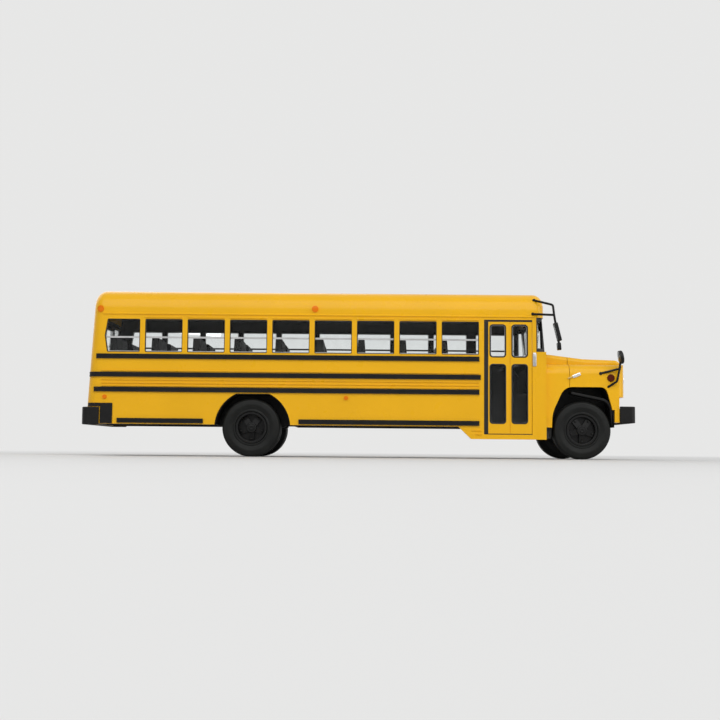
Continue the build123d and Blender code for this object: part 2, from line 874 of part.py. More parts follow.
def bumper(width, face_x, wrap, z0, height, facing):
    """A bumper with round edges and its ends bent back, open towards the bus."""
    half = width / 2
    back = face_x - facing * wrap
    radius = bumper_corner_radius
    outer = outline([(back, -half), (face_x, -half), (face_x, half), (back, half)], [0, radius, radius, 0])
    inner_face = face_x - facing * bumper_thickness
    inner = half - bumper_thickness
    hollow = outline(
        [(back - facing, -inner), (inner_face, -inner), (inner_face, inner), (back - facing, inner)],
        [0, radius - bumper_thickness, radius - bumper_thickness, 0],
    )
    bar = from_above(outer, z0, z0 + height)
    edges = bar.edges().group_by(Axis.Z)
    bar = fillet([*edges[0], *edges[-1]], bumper_edge_radius)
    return bar - from_above(hollow, z0, z0 + height)


def rear_corner_guards():
    """Black guards on the rear corners: a full height patch and a strip running back above the bumper."""
    x1 = coach_rear + guard_length
    foot = skirt_z + guard_foot
    top = foot + guard_height
    patch = block(x1 - guard_step, x1, -far, -half_width / 2, foot, top)
    strip = block(coach_rear + 1.2, x1, -far, -half_width / 2, top - guard_strip, top)
    return both_sides((coach_form(-guard_proud) - coach) & (patch + strip))


# Wheels and axles


def tyre(width):
    """A road tyre about the Y axis: a ridge next to the rim, bulged sidewalls and a grooved tread."""
    half = width / 2
    bead = tyre_bore_radius
    ridge = bead + bead_ridge
    side = (ridge + tyre_radius) / 2
    half_section = [
        (bead, half - 0.8),
        (ridge, half - 0.3),
        (ridge + bead_ridge, half - 0.3),
        (ridge + 1.5 * bead_ridge, half - 0.5),
        (side, half),
        (tyre_radius - 0.7, half - 0.3),
        (tyre_radius, half - 1.2),
    ]
    points = [(r, -y) for r, y in half_section] + [(r, y) for r, y in reversed(half_section)]
    radii = [0, 0.1, 0.1, 0.2, 1.8, 0.9, 0.4]
    body = revolve(outline(points, radii + radii[::-1]), axis=Axis.Y)
    depth = tread_groove * 0.8
    for y in (-half / 4, half / 4):
        groove = Pos(tyre_radius, y) * Rectangle(2 * depth, tread_groove)
        body -= revolve(groove, axis=Axis.Y)
    return body


def spoked_rim(width, dish):
    """A cast spoke rim about the Y axis, its face towards -Y, with the spokes set back by a dish."""
    outer = tyre_bore_radius - seat_gap
    half = width / 2
    face = -half + 0.7 + dish
    inner = outer - rim_thickness
    ring = [(inner, -half + 0.5), (outer, -half + 0.5), (outer, half - 0.7), (inner, half - 0.7)]
    barrel = revolve(outline(ring, [0.3, 0, 0, 0]), axis=Axis.Y)
    web = Pos(0, face + spoke_thickness + 0.4, 0) * Rot(90, 0, 0) * Cylinder(outer - rim_thickness / 2, 0.8)
    hub_end = face - min(dish, 1.2) - 0.4
    hub_back = face + spoke_thickness + 0.8
    hub = Pos(0, (hub_end + hub_back) / 2, 0) * Rot(90, 0, 0) * Cylinder(hub_radius, hub_back - hub_end)
    hub = fillet(hub.edges().sort_by(Axis.Y)[0], 0.4)
    rim = barrel + web + hub
    root = hub_radius / 2
    tip = outer - rim_thickness / 2
    back = face + spoke_thickness
    side = outline([(root, back), (root, face - 0.3), (tip, face + 0.5), (tip, back)], [0] * 4)
    spoke = extrude(Plane.XY * side, amount=spoke_width / 2, both=True)
    for i in range(spoke_count):
        rim += Rot(0, i * 360 / spoke_count + 90, 0) * spoke
    bore_end = hub_end + 0.6
    bore = Cylinder(pin_radius + seat_gap, far - bore_end)
    return rim - Pos(0, (bore_end + far) / 2, 0) * Rot(90, 0, 0) * bore


front_tyre_y = -half_fender + front_wheel_inset + tyre_width / 2
rear_outer_y = -half_width + rear_wheel_inset + rear_tyre_width / 2
rear_inner_y = rear_outer_y + rear_tyre_width + twin_gap
front_pin_end = front_tyre_y - tyre_width / 2 + 1.4
rear_pin_end = rear_outer_y - rear_tyre_width / 2 + 2.6


def at_axle(axle_x, y, piece):
    """A wheel piece placed on its axle."""
    return Pos(axle_x, y, axle_z) * piece


def rear_rim():
    """The rear rim: the dished outer rim and the inner rim's barrel joined by the hub's drum."""
    outer = spoked_rim(rear_tyre_width, rear_dish)
    shift = rear_inner_y - rear_outer_y
    half = rear_tyre_width / 2
    bore = tyre_bore_radius - seat_gap
    drum = Pos(0, shift / 2, 0) * Rot(90, 0, 0) * Cylinder(bore - 0.6, shift - 2 * half + 1.5)
    inner = Pos(0, shift, 0) * Rot(90, 0, 0) * Cylinder(bore, 2 * half - 1.4)
    tunnel = Pos(0, shift, 0) * Rot(90, 0, 0) * Cylinder(pin_radius + seat_gap, 4 * half)
    return outer + ((drum + inner) - tunnel)


def axle_pin(axle_x, end_y):
    """The steel pin that joins the wheels of one axle."""
    return rod((axle_x, end_y, axle_z), (axle_x, -end_y, axle_z), pin_radius)


def rear_wheel_houses():
    """Tubs behind the rear arches, with a hole for the axle."""
    y0 = -inner_half
    y1 = y0 + rear_house_depth
    tub = from_side(rear_arch(liner - liner_lip), y0, y1) - from_side(rear_arch(-liner_lip), y0, y1 - liner)
    tub &= block(-far, far, -far, far, skirt_z + house_lift, far)
    return both_sides(tub - rod((rear_axle_x, y0, axle_z), (rear_axle_x, y1, axle_z), 3.2))


def front_wheel_houses():
    """Tubs behind the front arches, open below, with a splash flap at the rear."""
    y0 = -half_fender + wall
    y1 = y0 + front_house_depth
    room = block(cowl_x, hood_front - lower_nose_setback - 0.9, -far, far, step_z + 0.6, far)
    tub = from_side(front_arch(liner), y0, y1) - from_side(front_arch(0), y0, y1 - liner)
    ahead = block(front_axle_x, far, -far, far, 0, skirt_z + house_lift)
    tub = (tub & room) - ahead - front_sheet
    return both_sides(tub - rod((front_axle_x, y0, axle_z), (front_axle_x, y1, axle_z), 3.2))


# Chassis


def frame_places():
    """Both ends of the frame rails: inside the rear wall and behind the front bumper."""
    return coach_rear + wall + 0.3, hood_front - horn_setback


def chassis_base():
    """The base plate with cut-outs for wheels and steps, and two bosses for the display screws."""
    inner = coach_form(wall + base_clearance) & block(-far, cowl_x - 1.5, -far, far, base_z, base_top_z)
    neck = block(cowl_x - 1.6, hood_front - neck_setback, -base_neck / 2, base_neck / 2, base_z, base_top_z)
    plate = inner + neck
    well = arch_reach + liner + 0.4
    wheel_cut = block(arch_x - well, arch_x + well, -far, -inner_half + rear_house_depth + 0.2, 0, far)
    step_cut = block(door_rear_x - 0.5, cowl_x, -far, step_inner_y + 0.3, 0, far)
    for tool in [*both_sides(wheel_cut), step_cut]:
        plate -= tool
    tank = block(-10.0, 26.0, -inner_half + 2.5, -rail_spacing / 2 - 2.5, base_z - 1.8, base_z)
    tank = fillet(tank.edges().group_by(Axis.Z)[0], 0.8)
    plate += tank
    for x in screw_places:
        boss_top = base_z + screw_depth + boss_cap
        plate += Pos(x, 0, (base_z + boss_top) / 2) * Cylinder(boss_radius, boss_top - base_z)
        plate -= Pos(x, 0, base_z + screw_depth / 2) * Cylinder(screw_radius, screw_depth)
    return plate


screw_places = (coach_rear + rear_screw_reach, hood_front - front_screw_setback)
step_inner_y = -half_width + 13.5


def leaf_spring(axle_x):
    """A bowed pack of leaves under the right rail, its eyes at the rail and its middle below."""
    half = spring_length / 2
    top = base_z - rail_depth + spring_leaf / 3
    arc = ThreePointArc((axle_x - half, top), (axle_x, top - spring_drop), (axle_x + half, top))
    end_z = top - spring_leaf
    middle_z = top - spring_drop - 2 * spring_leaf
    low = ThreePointArc((axle_x - half, end_z), (axle_x, middle_z), (axle_x + half, end_z))
    ends = Line(arc @ 0, low @ 0) + Line(arc @ 1, low @ 1)
    leaf = make_face(arc + ends + low)
    y0 = -rail_spacing / 2 - rail_width / 2
    y1 = y0 + rail_width
    seat = block(axle_x - 2.2, axle_x + 2.2, y0, y1, top - spring_drop - 0.4, top)
    return from_side(leaf, y0, y1) + seat


def chassis_frame():
    """A ladder frame of channel rails with cross members, bumper arms, leaf springs and axle bearings."""
    x0, x1 = frame_places()
    y = -rail_spacing / 2
    top = base_z
    foot = base_z - rail_depth
    rail = block(x0, x1, y - rail_width / 2, y + rail_width / 2, foot, top)
    rail += block(x1 - horn_length, x1, y - rail_width / 2, y + rail_width / 2, foot, horn_z + horn_height)
    rail += block(
        x1 - horn_length,
        front_end - bumper_thickness,
        y - rail_width / 2,
        y + rail_width / 2,
        horn_z,
        horn_z + horn_height,
    )
    for start, end in rail_pockets:
        rail -= block(start, end, y - rail_width / 2 + 0.7, far, foot + rail_flange, top - rail_flange)
    for axle_x in (rear_axle_x, front_axle_x):
        rail += leaf_spring(axle_x)
        rail -= rod((axle_x, y - 5, axle_z), (axle_x, y + 5, axle_z), pin_radius + pin_clearance)
    frame = both_sides(rail)
    ladder = frame[0] + frame[1]
    inner = rail_spacing / 2 - rail_width / 2
    for x in cross_members:
        ladder += block(x - cross_member / 2, x + cross_member / 2, -inner, inner, foot + 1.0, top)
    notch = shaft_radius + shaft_clearance
    return ladder - block(rear_axle_x + 7.0, cowl_x - 30.0, -notch, notch, 0, top - cross_member / 2)


cross_members = (coach_rear + 8.0, rear_axle_x - 14.0, rear_axle_x + 16.0, front_axle_x + 12.4)
# Channel pockets of the rails, between the solid stretches that hold the axles and cross members
rail_pockets = [
    (coach_rear + 12.0, rear_axle_x - 18.0),
    (rear_axle_x + 20.0, front_axle_x - 20.0),
]


def axle_casing(axle_x, end_y):
    """A casing in three pieces round the axle pin: one between the frame rails and one outside each."""
    outer = rail_spacing / 2 + rail_width / 2
    inner = rail_spacing / 2 - rail_width / 2
    bore = rod((axle_x, -far, axle_z), (axle_x, far, axle_z), pin_radius + pin_clearance)
    middle = rod((axle_x, -inner, axle_z), (axle_x, inner, axle_z), 1.7)
    end = rod((axle_x, end_y, axle_z), (axle_x, -outer, axle_z), 1.7)
    return middle, end, bore


def rear_axle_casing():
    """The rear axle's casing with the round differential in the middle."""
    middle, end, bore = axle_casing(rear_axle_x, rear_inner_y + rear_tyre_width / 2 + 0.8)
    bowl = Pos(rear_axle_x, 0, axle_z) * Sphere(4.6)
    bowl = bowl & block(-far, far, -3.4, 3.4, 0, base_z)
    return [piece - bore for piece in (middle + bowl, *both_sides(end))]


def front_axle_beam():
    """The front axle's beam with upright knuckles outside the frame."""
    middle, end, bore = axle_casing(front_axle_x, front_tyre_y + tyre_width / 2 + 0.7)
    inner = rail_spacing / 2 - rail_width / 2
    beam = middle + block(front_axle_x - 1.2, front_axle_x + 1.2, -inner, inner, axle_z - 2.3, axle_z - 0.6)
    knuckle = Pos(front_axle_x, front_tyre_y + tyre_width / 2 + 2.4, axle_z) * Cylinder(1.5, 5.4)
    return [piece - bore for piece in (beam, *both_sides(end + knuckle))]


def driveline():
    """Engine sump, gearbox and propeller shaft as they show from below."""
    sump = block(cowl_x - 8.0, front_axle_x - 3.0, -4.6, 4.6, base_z - 3.6, base_z)
    sump = fillet(sump.edges().group_by(Axis.Z)[0], 1.2)
    box_x = cowl_x - 24.0
    gearbox = block(box_x, cowl_x - 7.5, -3.2, 3.2, base_z - 3.8, base_z)
    gearbox = fillet(gearbox.edges().group_by(Axis.Z)[0], 1.0)
    front_z = base_z - shaft_drop
    rear_z = axle_z + shaft_rise
    shaft = rod((rear_axle_x + 5.6, 0, rear_z), (box_x + 1.0, 0, front_z), shaft_radius)
    flange = rod((rear_axle_x + 4.7, 0, rear_z), (rear_axle_x + 6.4, 0, rear_z), shaft_radius + 0.5)
    yoke = rod((box_x - 1.8, 0, front_z), (box_x + 0.4, 0, front_z), shaft_radius + 0.5)
    return sump + gearbox + (shaft + flange + yoke & block(-far, far, -far, far, 0, base_z))


def exhaust():
    """Silencer and pipe on the left of the frame, leaving ahead of the rear wheel."""
    y = rail_spacing / 2 + 4.0
    z = base_z - silencer_radius - 0.2
    out_x = arch_x + arch_reach + 4.0
    pipe = bent_tube(
        [(cowl_x - 12.0, y, z), (out_x, y, z), (out_x - 3.0, inner_half - 1.0, z)], [4.0], 0.8
    )
    silencer = rod((-6.0, y, z), (22.0, y, z), silencer_radius)
    silencer = fillet(silencer.edges(), 0.6)
    hanger = block(6.0, 9.0, y - 1.0, y + 1.0, z, base_z)
    return pipe + (silencer + hanger & block(-far, far, -far, far, 0, base_z))


# Cabin


def cabin_floor():
    """The flat floor above the wheel houses, cut away over the entrance steps."""
    plate = coach_form(wall + base_clearance) & block(-far, cowl_x - 1.6, -far, far, floor_under_z, floor_z)
    return plate - block(door_rear_x - 0.5, far, -far, step_inner_y + 0.3, 0, far)


def entrance_steps():
    """The stair well behind the door: two treads and the closed underside."""
    depth = step_inner_y + inner_half - glass - 0.4
    y0 = -inner_half + glass + 0.4
    tread = depth / 3
    z0 = step_z + 0.6
    rise = (floor_z - z0) / 3
    points = [
        (y0, z0),
        (step_inner_y, z0),
        (step_inner_y, floor_z),
        (y0 + 2 * tread, floor_z),
        (y0 + 2 * tread, z0 + 2 * rise),
        (y0 + tread, z0 + 2 * rise),
        (y0 + tread, z0 + rise),
        (y0, z0 + rise),
    ]
    return from_front(make_face(Polyline(*points, close=True)), door_rear_x + 0.2, cowl_x - 1.7)


def seat_outline(x):
    """Side view of a bench: a pedestal, a cushion and a backrest that narrows to its top."""
    points = [
        (x, floor_z),
        (x + seat_depth - 2.0, floor_z),
        (x + seat_depth - 1.4, floor_z + cushion_top - 4.0),
        (x + seat_depth, floor_z + cushion_top - 3.4),
        (x + seat_depth, floor_z + cushion_top),
        (x + backrest, floor_z + cushion_top - 0.6),
        (x + backrest_slope + backrest_top, floor_z + seat_top),
        (x + backrest_slope, floor_z + seat_top),
    ]
    soft = seat_edge_radius
    return outline(points, [0, 0, 0.6, soft, soft, 0.6, soft, soft])


def bench(x):
    """A passenger bench of the right side."""
    y0 = -inner_half + glass + 0.25
    return from_side(seat_outline(x), y0, y0 + seat_width)


def bench_rows():
    """Feet of the benches' backrests, from the rear wall to the door."""
    start = coach_rear + first_seat
    count = floor((door_rear_x - 4.0 - seat_depth - start) / seat_pitch) + 1
    return [start + i * seat_pitch for i in range(count)]


def driver_seat():
    """The driver's seat on its pedestal, left of the aisle."""
    x = door_rear_x + 3.4
    seat = from_side(seat_outline(x), driver_y - driver_seat_width / 2, driver_y + driver_seat_width / 2)
    return seat & block(-far, far, -far, far, 0, floor_z + seat_top - 1.6)


def dashboard():
    """The dashboard under the windscreen, with a hooded instrument panel for the driver."""
    back = cowl_x - 1.5
    top = cowl_top_z - 1.0
    face = outline(
        [
            (back, floor_z),
            (back, top),
            (back - 4.6, top),
            (back - 5.6, top - 2.4),
            (back - 3.6, top - 4.6),
            (back - 2.4, floor_z),
        ],
        [0, 0, 0.8, 0.8, 0, 0],
    )
    return from_side(face, step_inner_y + 1.0, inner_half - 1.2)


def steering_wheel():
    """A thin rimmed wheel with three spokes on its column, raked towards the driver."""
    hub = (cowl_x - 10.6, driver_y, cowl_top_z - 2.6)
    ring = Torus(steering_radius, steering_rim) + Cylinder(1.0, 1.0)
    for i in range(3):
        ring += Rot(0, 0, i * 120 + 90) * Pos(steering_radius / 2, 0, 0) * Box(steering_radius, 0.8, 0.5)
    column = rod((0, 0, -7.5), (0, 0, 0), 0.6)
    wheel = Pos(*hub) * Rot(0, -38, 0) * (ring + column)
    return wheel - dashboard()


# Glazing


def side_glass(entrance):
    """The clear strip behind the passenger windows, drawn on the right side."""
    spans, rear_pane = window_spans()
    x1 = spans[0][1] + 0.9 if entrance else driver_window_x[1] + 0.9
    strip = block(rear_pane[0] - 0.7, x1, -inner_half, -inner_half + glass, sill_z - 1.0, window_top_z + 1.0)
    return strip


def rear_glass():
    """The clear insert behind the rear windows and the emergency door's pane."""
    half = half_width - rear_corner_radius
    insert = coach_inside - coach_form(wall + glass)
    front = coach_rear + rear_corner_depth - 1.0
    return insert & block(-far, front, -half, half, sill_z - 1.0, window_top_z + 1.0)


def door_glass():
    """The clear plate behind the four door panes."""
    foot = lower_pane_top - lower_pane_height - 0.9
    head = upper_pane_top + 0.9
    return block(leaf_x0 + 0.1, leaf_x1 - 0.1, -inner_half, -inner_half + glass, foot, head)


# Mirrors, lamps and signs


def door_mirror():
    """The right mirror: two arms from round feet, a bent tube, a tall flat head and a small spot mirror."""
    y = -half_width - mirror_reach
    arm_root = (cowl_x - 4.9, -half_width + 1.65, roof_z - 4.5)
    brace_root = (cowl_x - 5.6, -half_width + 0.1, eave_z + 1.45)
    joint = (cowl_x + 2.6, y, eave_z + 0.6)
    foot = (cowl_x + 5.0, y, sill_z + 2.2)
    arm = bent_tube(
        [
            arm_root,
            (cowl_x + 2.1, y, roof_z - 7.2),
            joint,
            foot,
        ],
        [1.2, 6.0],
        tube_radius,
    )
    brace = rod(brace_root, joint, tube_radius)
    turn = Rot(0, -mirror_slant, 0)
    head_face = Box(mirror_thickness, mirror_width, mirror_height)
    head_face = fillet(head_face.edges().filter_by(Axis.X), 0.8)
    spot_face = Box(mirror_thickness, mirror_width * 0.75, spot_mirror_height)
    spot_face = fillet(spot_face.edges().filter_by(Axis.X), 0.8)
    head = Pos(cowl_x + 3.95, y, window_top_z - 4.55) * turn * head_face
    spot = Pos(cowl_x + 4.6, y, sill_z + 3.45) * Rot(0, -spot_slant, 0) * spot_face
    piece = arm + brace + head + spot
    for root in (arm_root, brace_root):
        piece += Pos(*root) * Sphere(mirror_foot_radius)
    return piece - coach


def fender_mirror():
    """The right crossing mirror: a round head on two stems with round feet on the fender."""
    y = -half_fender - 1.6
    joint = (hood_front - 2.5, y, fender_top_z - 2.0)
    low = (hood_front - 7.2, -half_fender + 0.1, fender_top_z - 9.8)
    rear = (hood_front - 10.2, -half_fender + 0.1, fender_top_z - 4.0)
    tip = (hood_front - 2.1, y, fender_top_z + 1.6)
    stem = bent_tube([low, (hood_front - 3.7, y, fender_top_z - 7.4), joint, tip], [1.0, 4.0], tube_radius)
    brace = rod(rear, joint, tube_radius)
    head = Cylinder(disc_radius, disc_thickness)
    head = fillet(head.edges().sort_by(Axis.Z)[-1], 0.5)
    disc = Pos(hood_front - 1.9, y, fender_top_z + 2.85) * Rot(0, 80, 0) * head
    foot = Pos(*rear) * Sphere(mirror_foot_radius)
    return (stem + brace + disc + foot) - front_form(0)


def lamp_on_end(y, z, radius, proud, facing):
    """A round lens standing proud of the coach's front or rear."""
    middle = cowl_x if facing > 0 else coach_rear
    lens = rod((middle - facing * 8.0, y, z), (middle + facing * 4.0, y, z), radius)
    return (coach_form(-proud) & lens) - coach


def lamp_on_side(x, z, radius, proud):
    """A round lens standing proud of the coach's right side."""
    lens = rod((x, -half_width - 4.0, z), (x, -half_width + 14.0, z), radius)
    return (coach_form(-proud) & lens) - coach


def warning_lamps(y):
    """Four warning lamps at one distance from the middle, on the brow and on the rear dome."""
    z = eave_z + roof_rise * 0.38
    return [
        lamp
        for facing in (1, -1)
        for lamp in both_sides(lamp_on_end(-y, z, warning_radius, warning_proud, facing))
    ]


# Marker lamps of each side: distance ahead of the rear wall's foot, height, radius
amber_markers = [
    (coach_length * 0.497, eave_z + 2.8, roof_marker_radius),
    (coach_length * 0.566, skirt_z + 11.6, marker_radius),
    (rear_corner_depth - 1.2, eave_z + 2.2, roof_marker_radius),
    (rear_corner_depth + 1.4, skirt_z + 11.3, marker_radius),
]


def side_markers():
    """Small marker lamps on both sides of the coach."""
    return [
        lamp
        for ahead, z, radius in amber_markers
        for lamp in both_sides(lamp_on_side(coach_rear + ahead, z, radius, marker_proud))
    ]


def fender_lamps():
    """Dark red lamps on the sides of the front fenders."""
    x = hood_front - 5.9
    z = fender_top_z - 5.9
    lens = rod((x, -half_fender - 0.5, z), (x, -half_fender + 2.0, z), fender_lamp_radius)
    lens = fillet(lens.edges().group_by(Axis.Y)[0], 0.3)
    return both_sides(lens - front_form(0))


def tail_lamps():
    """Red lamps low on the rear wall, two on each side."""
    return [
        lamp
        for y in (13.0, 17.4)
        for lamp in both_sides(lamp_on_end(-y, skirt_z + 19.0, tail_radius, marker_proud, -1))
    ]


def stop_arm():
    """The octagonal stop sign, left blank, folded against the left side on two hinge arms."""
    x = door_rear_x - 8.0
    z = (sill_z - 1.8 + sill_z - 9.5) / 2
    y0 = half_width + rail_proud + 0.1
    octagon = extrude(Rot(0, 0, 22.5) * RegularPolygon(5.6, 8), amount=0.3, both=True)
    plate = Pos(x, y0 + 0.3, z) * Rot(90, 0, 0) * octagon
    arms = [block(x + 3.0, x + 7.5, half_width, y0 + 0.2, z + dz - 0.6, z + dz + 0.6) for dz in (-1.2, 1.8)]
    return plate + arms[0] + arms[1]


def wipers():
    """Two wiper arms with their blades, parked low on the windscreen."""
    x = cowl_x - screen_foot_setback
    pieces = []
    for y in (-4.0, 15.0):
        arm = rod((x + 0.45, y, cowl_top_z + 0.3), (x - 0.25, y - 6.0, cowl_top_z + 6.6), 0.25)
        blade = rod((x - 0.02, y - 1.8, cowl_top_z + 4.4), (x - 0.45, y - 10.0, cowl_top_z + 8.6), 0.28)
        foot = rod((x + 0.45, y, cowl_top_z), (x + 0.45, y, cowl_top_z + 0.7), 0.5)
        pieces.append((arm + blade + foot) - screen_form(0))
    return pieces


front_sheet = front_sheet_metal()
front_bumper_piece = bumper(
    front_bumper_width, front_end, front_bumper_wrap, front_bumper_z, front_bumper_height, 1
)
rear_bumper_width = body_width + 2 * (bumper_thickness + rear_bumper_clearance)


def rear_bumper():
    """The rear bumper with two brackets that seat on the rear wall."""
    piece = bumper(rear_bumper_width, rear_end, rear_bumper_wrap, rear_bumper_z, rear_bumper_height, -1)
    y = rail_spacing / 2
    z = rear_bumper_z + rear_bumper_height / 2
    arm = block(
        rear_end + bumper_thickness / 2,
        coach_rear + wall,
        -y - bracket_width / 2,
        -y + bracket_width / 2,
        z - bracket_height / 2,
        z + bracket_height / 2,
    )
    for bracket in both_sides(arm - coach):
        piece += bracket
    return piece


front_wheel = spoked_rim(tyre_width, 0.5)
mirrored = Plane.XZ

nodes = {
    "roof": roof(),
    "side_wall_right": side_wall(True),
    "side_wall_left": mirror(side_wall(False), about=mirrored),
    "rear_wall": rear_wall(),
    "windscreen_frame": windscreen_frame(),
    "cowl_panel": cowl_panel(),
    "cowl_quarters": cowl_quarters(front_sheet),
    "hood_and_fenders": hood_and_fenders(front_sheet),
    "entrance_door": entrance_door(),
    "door_seal": door_seal(),
    "emergency_door": emergency_door(),
    "exit_handle": exit_handle(),
    "rub_rails_right": rub_rails(True),
    "rub_rails_left": [mirror(rail, about=mirrored) for rail in rub_rails(False)],
    "rear_corner_guards": rear_corner_guards(),
    "front_bumper": front_bumper_piece,
    "rear_bumper": rear_bumper(),
    "grille": grille(),
    "headlamp_bezels": headlamp_bezels(),
    "headlamps": headlamps(),
    "front_turn_lamps": front_turn_lamps(),
    "hood_latches": hood_latches(),
    "mirror_right": door_mirror(),
    "mirror_left": mirror(door_mirror(), about=mirrored),
    "fender_mirrors": both_sides(fender_mirror()),
    "warning_lamps_red": warning_lamps(19.0),
    "warning_lamps_amber": warning_lamps(14.0),
    "marker_lamps_amber": side_markers(),
    "marker_lamps_red": fender_lamps(),
    "tail_lamps": tail_lamps(),
    "stop_arm": stop_arm(),
    "wipers": wipers(),
    "window_frames_right": window_frames(True),
    "window_frames_left": [mirror(frame, about=mirrored) for frame in window_frames(False)],
    "glass_right": side_glass(True),
    "glass_left": mirror(side_glass(False), about=mirrored),
    "windscreen_glass": windscreen_glass(),
    "rear_glass": rear_glass(),
    "door_glass": door_glass(),
    "cabin_floor": cabin_floor(),
    "entrance_steps": entrance_steps(),
    "seats_right": [bench(x) for x in bench_rows()],
    "seats_left": [mirror(bench(x), about=mirrored) for x in bench_rows()],
    "driver_seat": driver_seat(),
    "dashboard": dashboard(),
    "steering_wheel": steering_wheel(),
    "chassis_base": chassis_base(),
    "chassis_frame": chassis_frame(),
    "driveline": driveline(),
    "exhaust": exhaust(),
    "front_axle_beam": front_axle_beam(),
    "rear_axle_casing": rear_axle_casing(),
    "front_wheel_houses": front_wheel_houses(),
    "rear_wheel_houses": rear_wheel_houses(),
    "front_axle_pin": axle_pin(front_axle_x, front_pin_end),
    "front_rims": both_sides(at_axle(front_axle_x, front_tyre_y, front_wheel)),
    "front_tyres": both_sides(at_axle(front_axle_x, front_tyre_y, tyre(tyre_width))),
    "rear_axle_pin": axle_pin(rear_axle_x, rear_pin_end),
    "rear_rims": both_sides(at_axle(rear_axle_x, rear_outer_y, rear_rim())),
    "rear_tyres": [
        piece
        for y in (rear_outer_y, rear_inner_y)
        for piece in both_sides(at_axle(rear_axle_x, y, tyre(rear_tyre_width)))
    ],
}

os.makedirs("parts", exist_ok=True)
for name, piece in nodes.items():
    solids = [s for p in (piece if isinstance(piece, list) else [piece]) for s in p.solids()]
    export_step(solids[0] if len(solids) == 1 else Compound(solids), f"parts/{name}.step")
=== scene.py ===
"""Looks of a 1:43 school bus model: finishes for the castings, and the fine trim that sits on them.

Every length is in metres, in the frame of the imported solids: +X to the front, +Y to the bus's left, +Z up.
"""

from __future__ import annotations

import logging
import math
from abc import ABC, abstractmethod
from collections.abc import Callable, Iterator
from contextlib import contextmanager
from dataclasses import dataclass
from enum import Enum
from functools import cached_property
from typing import ClassVar

import bmesh
import bpy
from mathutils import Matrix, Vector

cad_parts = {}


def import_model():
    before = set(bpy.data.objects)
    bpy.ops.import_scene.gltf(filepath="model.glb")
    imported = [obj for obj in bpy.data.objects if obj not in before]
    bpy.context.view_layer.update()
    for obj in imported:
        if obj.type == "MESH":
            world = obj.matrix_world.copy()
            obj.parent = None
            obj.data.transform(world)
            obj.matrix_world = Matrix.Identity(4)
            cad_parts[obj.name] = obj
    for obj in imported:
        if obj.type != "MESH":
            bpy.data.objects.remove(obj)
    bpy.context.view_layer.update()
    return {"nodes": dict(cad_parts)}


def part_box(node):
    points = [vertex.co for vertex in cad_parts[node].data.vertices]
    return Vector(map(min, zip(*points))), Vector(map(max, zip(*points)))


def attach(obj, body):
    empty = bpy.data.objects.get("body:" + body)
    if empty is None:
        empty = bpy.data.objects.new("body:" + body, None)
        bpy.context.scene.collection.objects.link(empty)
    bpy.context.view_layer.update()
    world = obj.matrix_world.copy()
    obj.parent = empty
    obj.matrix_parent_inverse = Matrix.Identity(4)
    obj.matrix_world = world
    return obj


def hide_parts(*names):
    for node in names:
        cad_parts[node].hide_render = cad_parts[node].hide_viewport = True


LOG = logging.getLogger("school_bus_looks")
MM = 0.001
TINY = 1e-6  # places closer than this count as one
QUARTER_TURN = math.pi / 2
SMOOTH_ANGLE = math.radians(40.0)  # faces that meet at less than this are shaded as one
CORNER_SEGMENTS = 5  # edges in each round corner of a plate
EDGE_SHARE = 0.3  # a ring's edge radius as a share of its thinner side

Colour = tuple[float, float, float]
Point = tuple[float, float, float]
Pair = tuple[float, float]
Piece = bpy.types.Object
Socket = bpy.types.NodeSocket
Source = Socket | float | tuple

ORIGIN: Point = (0.0, 0.0, 0.0)
EVEN: Point = (1.0, 1.0, 1.0)
YELLOW: Colour = (0.84, 0.44, 0.005)
BLACK: Colour = (0.006, 0.006, 0.006)


def mm(*lengths: float) -> tuple[float, ...]:
    """Returns lengths, given in millimetres, in metres."""
    return tuple(length * MM for length in lengths)


class Body(Enum):
    """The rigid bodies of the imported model."""

    COACH = "coach"
    FRONT_AXLE = "front_axle_set"
    REAR_AXLE = "rear_axle_set"


class Slot(Enum):
    """The record's material slots."""

    PAINT = "body_yellow"
    RUBBER = "black_rubber"
    BRIGHT = "bright_metal"
    BASE = "black_base"
    RIM = "black_rim"


class Side(Enum):
    """The two sides of the bus, as signs of Y."""

    RIGHT = -1
    LEFT = 1

    @property
    def word(self) -> str:
        """Returns the side's name as the pieces carry it."""
        return self.name.lower()


class Element(Enum):
    """What can be selected in edit mode, with its list in a mesh."""

    VERT = "verts"
    EDGE = "edges"
    FACE = "faces"


# Finishes


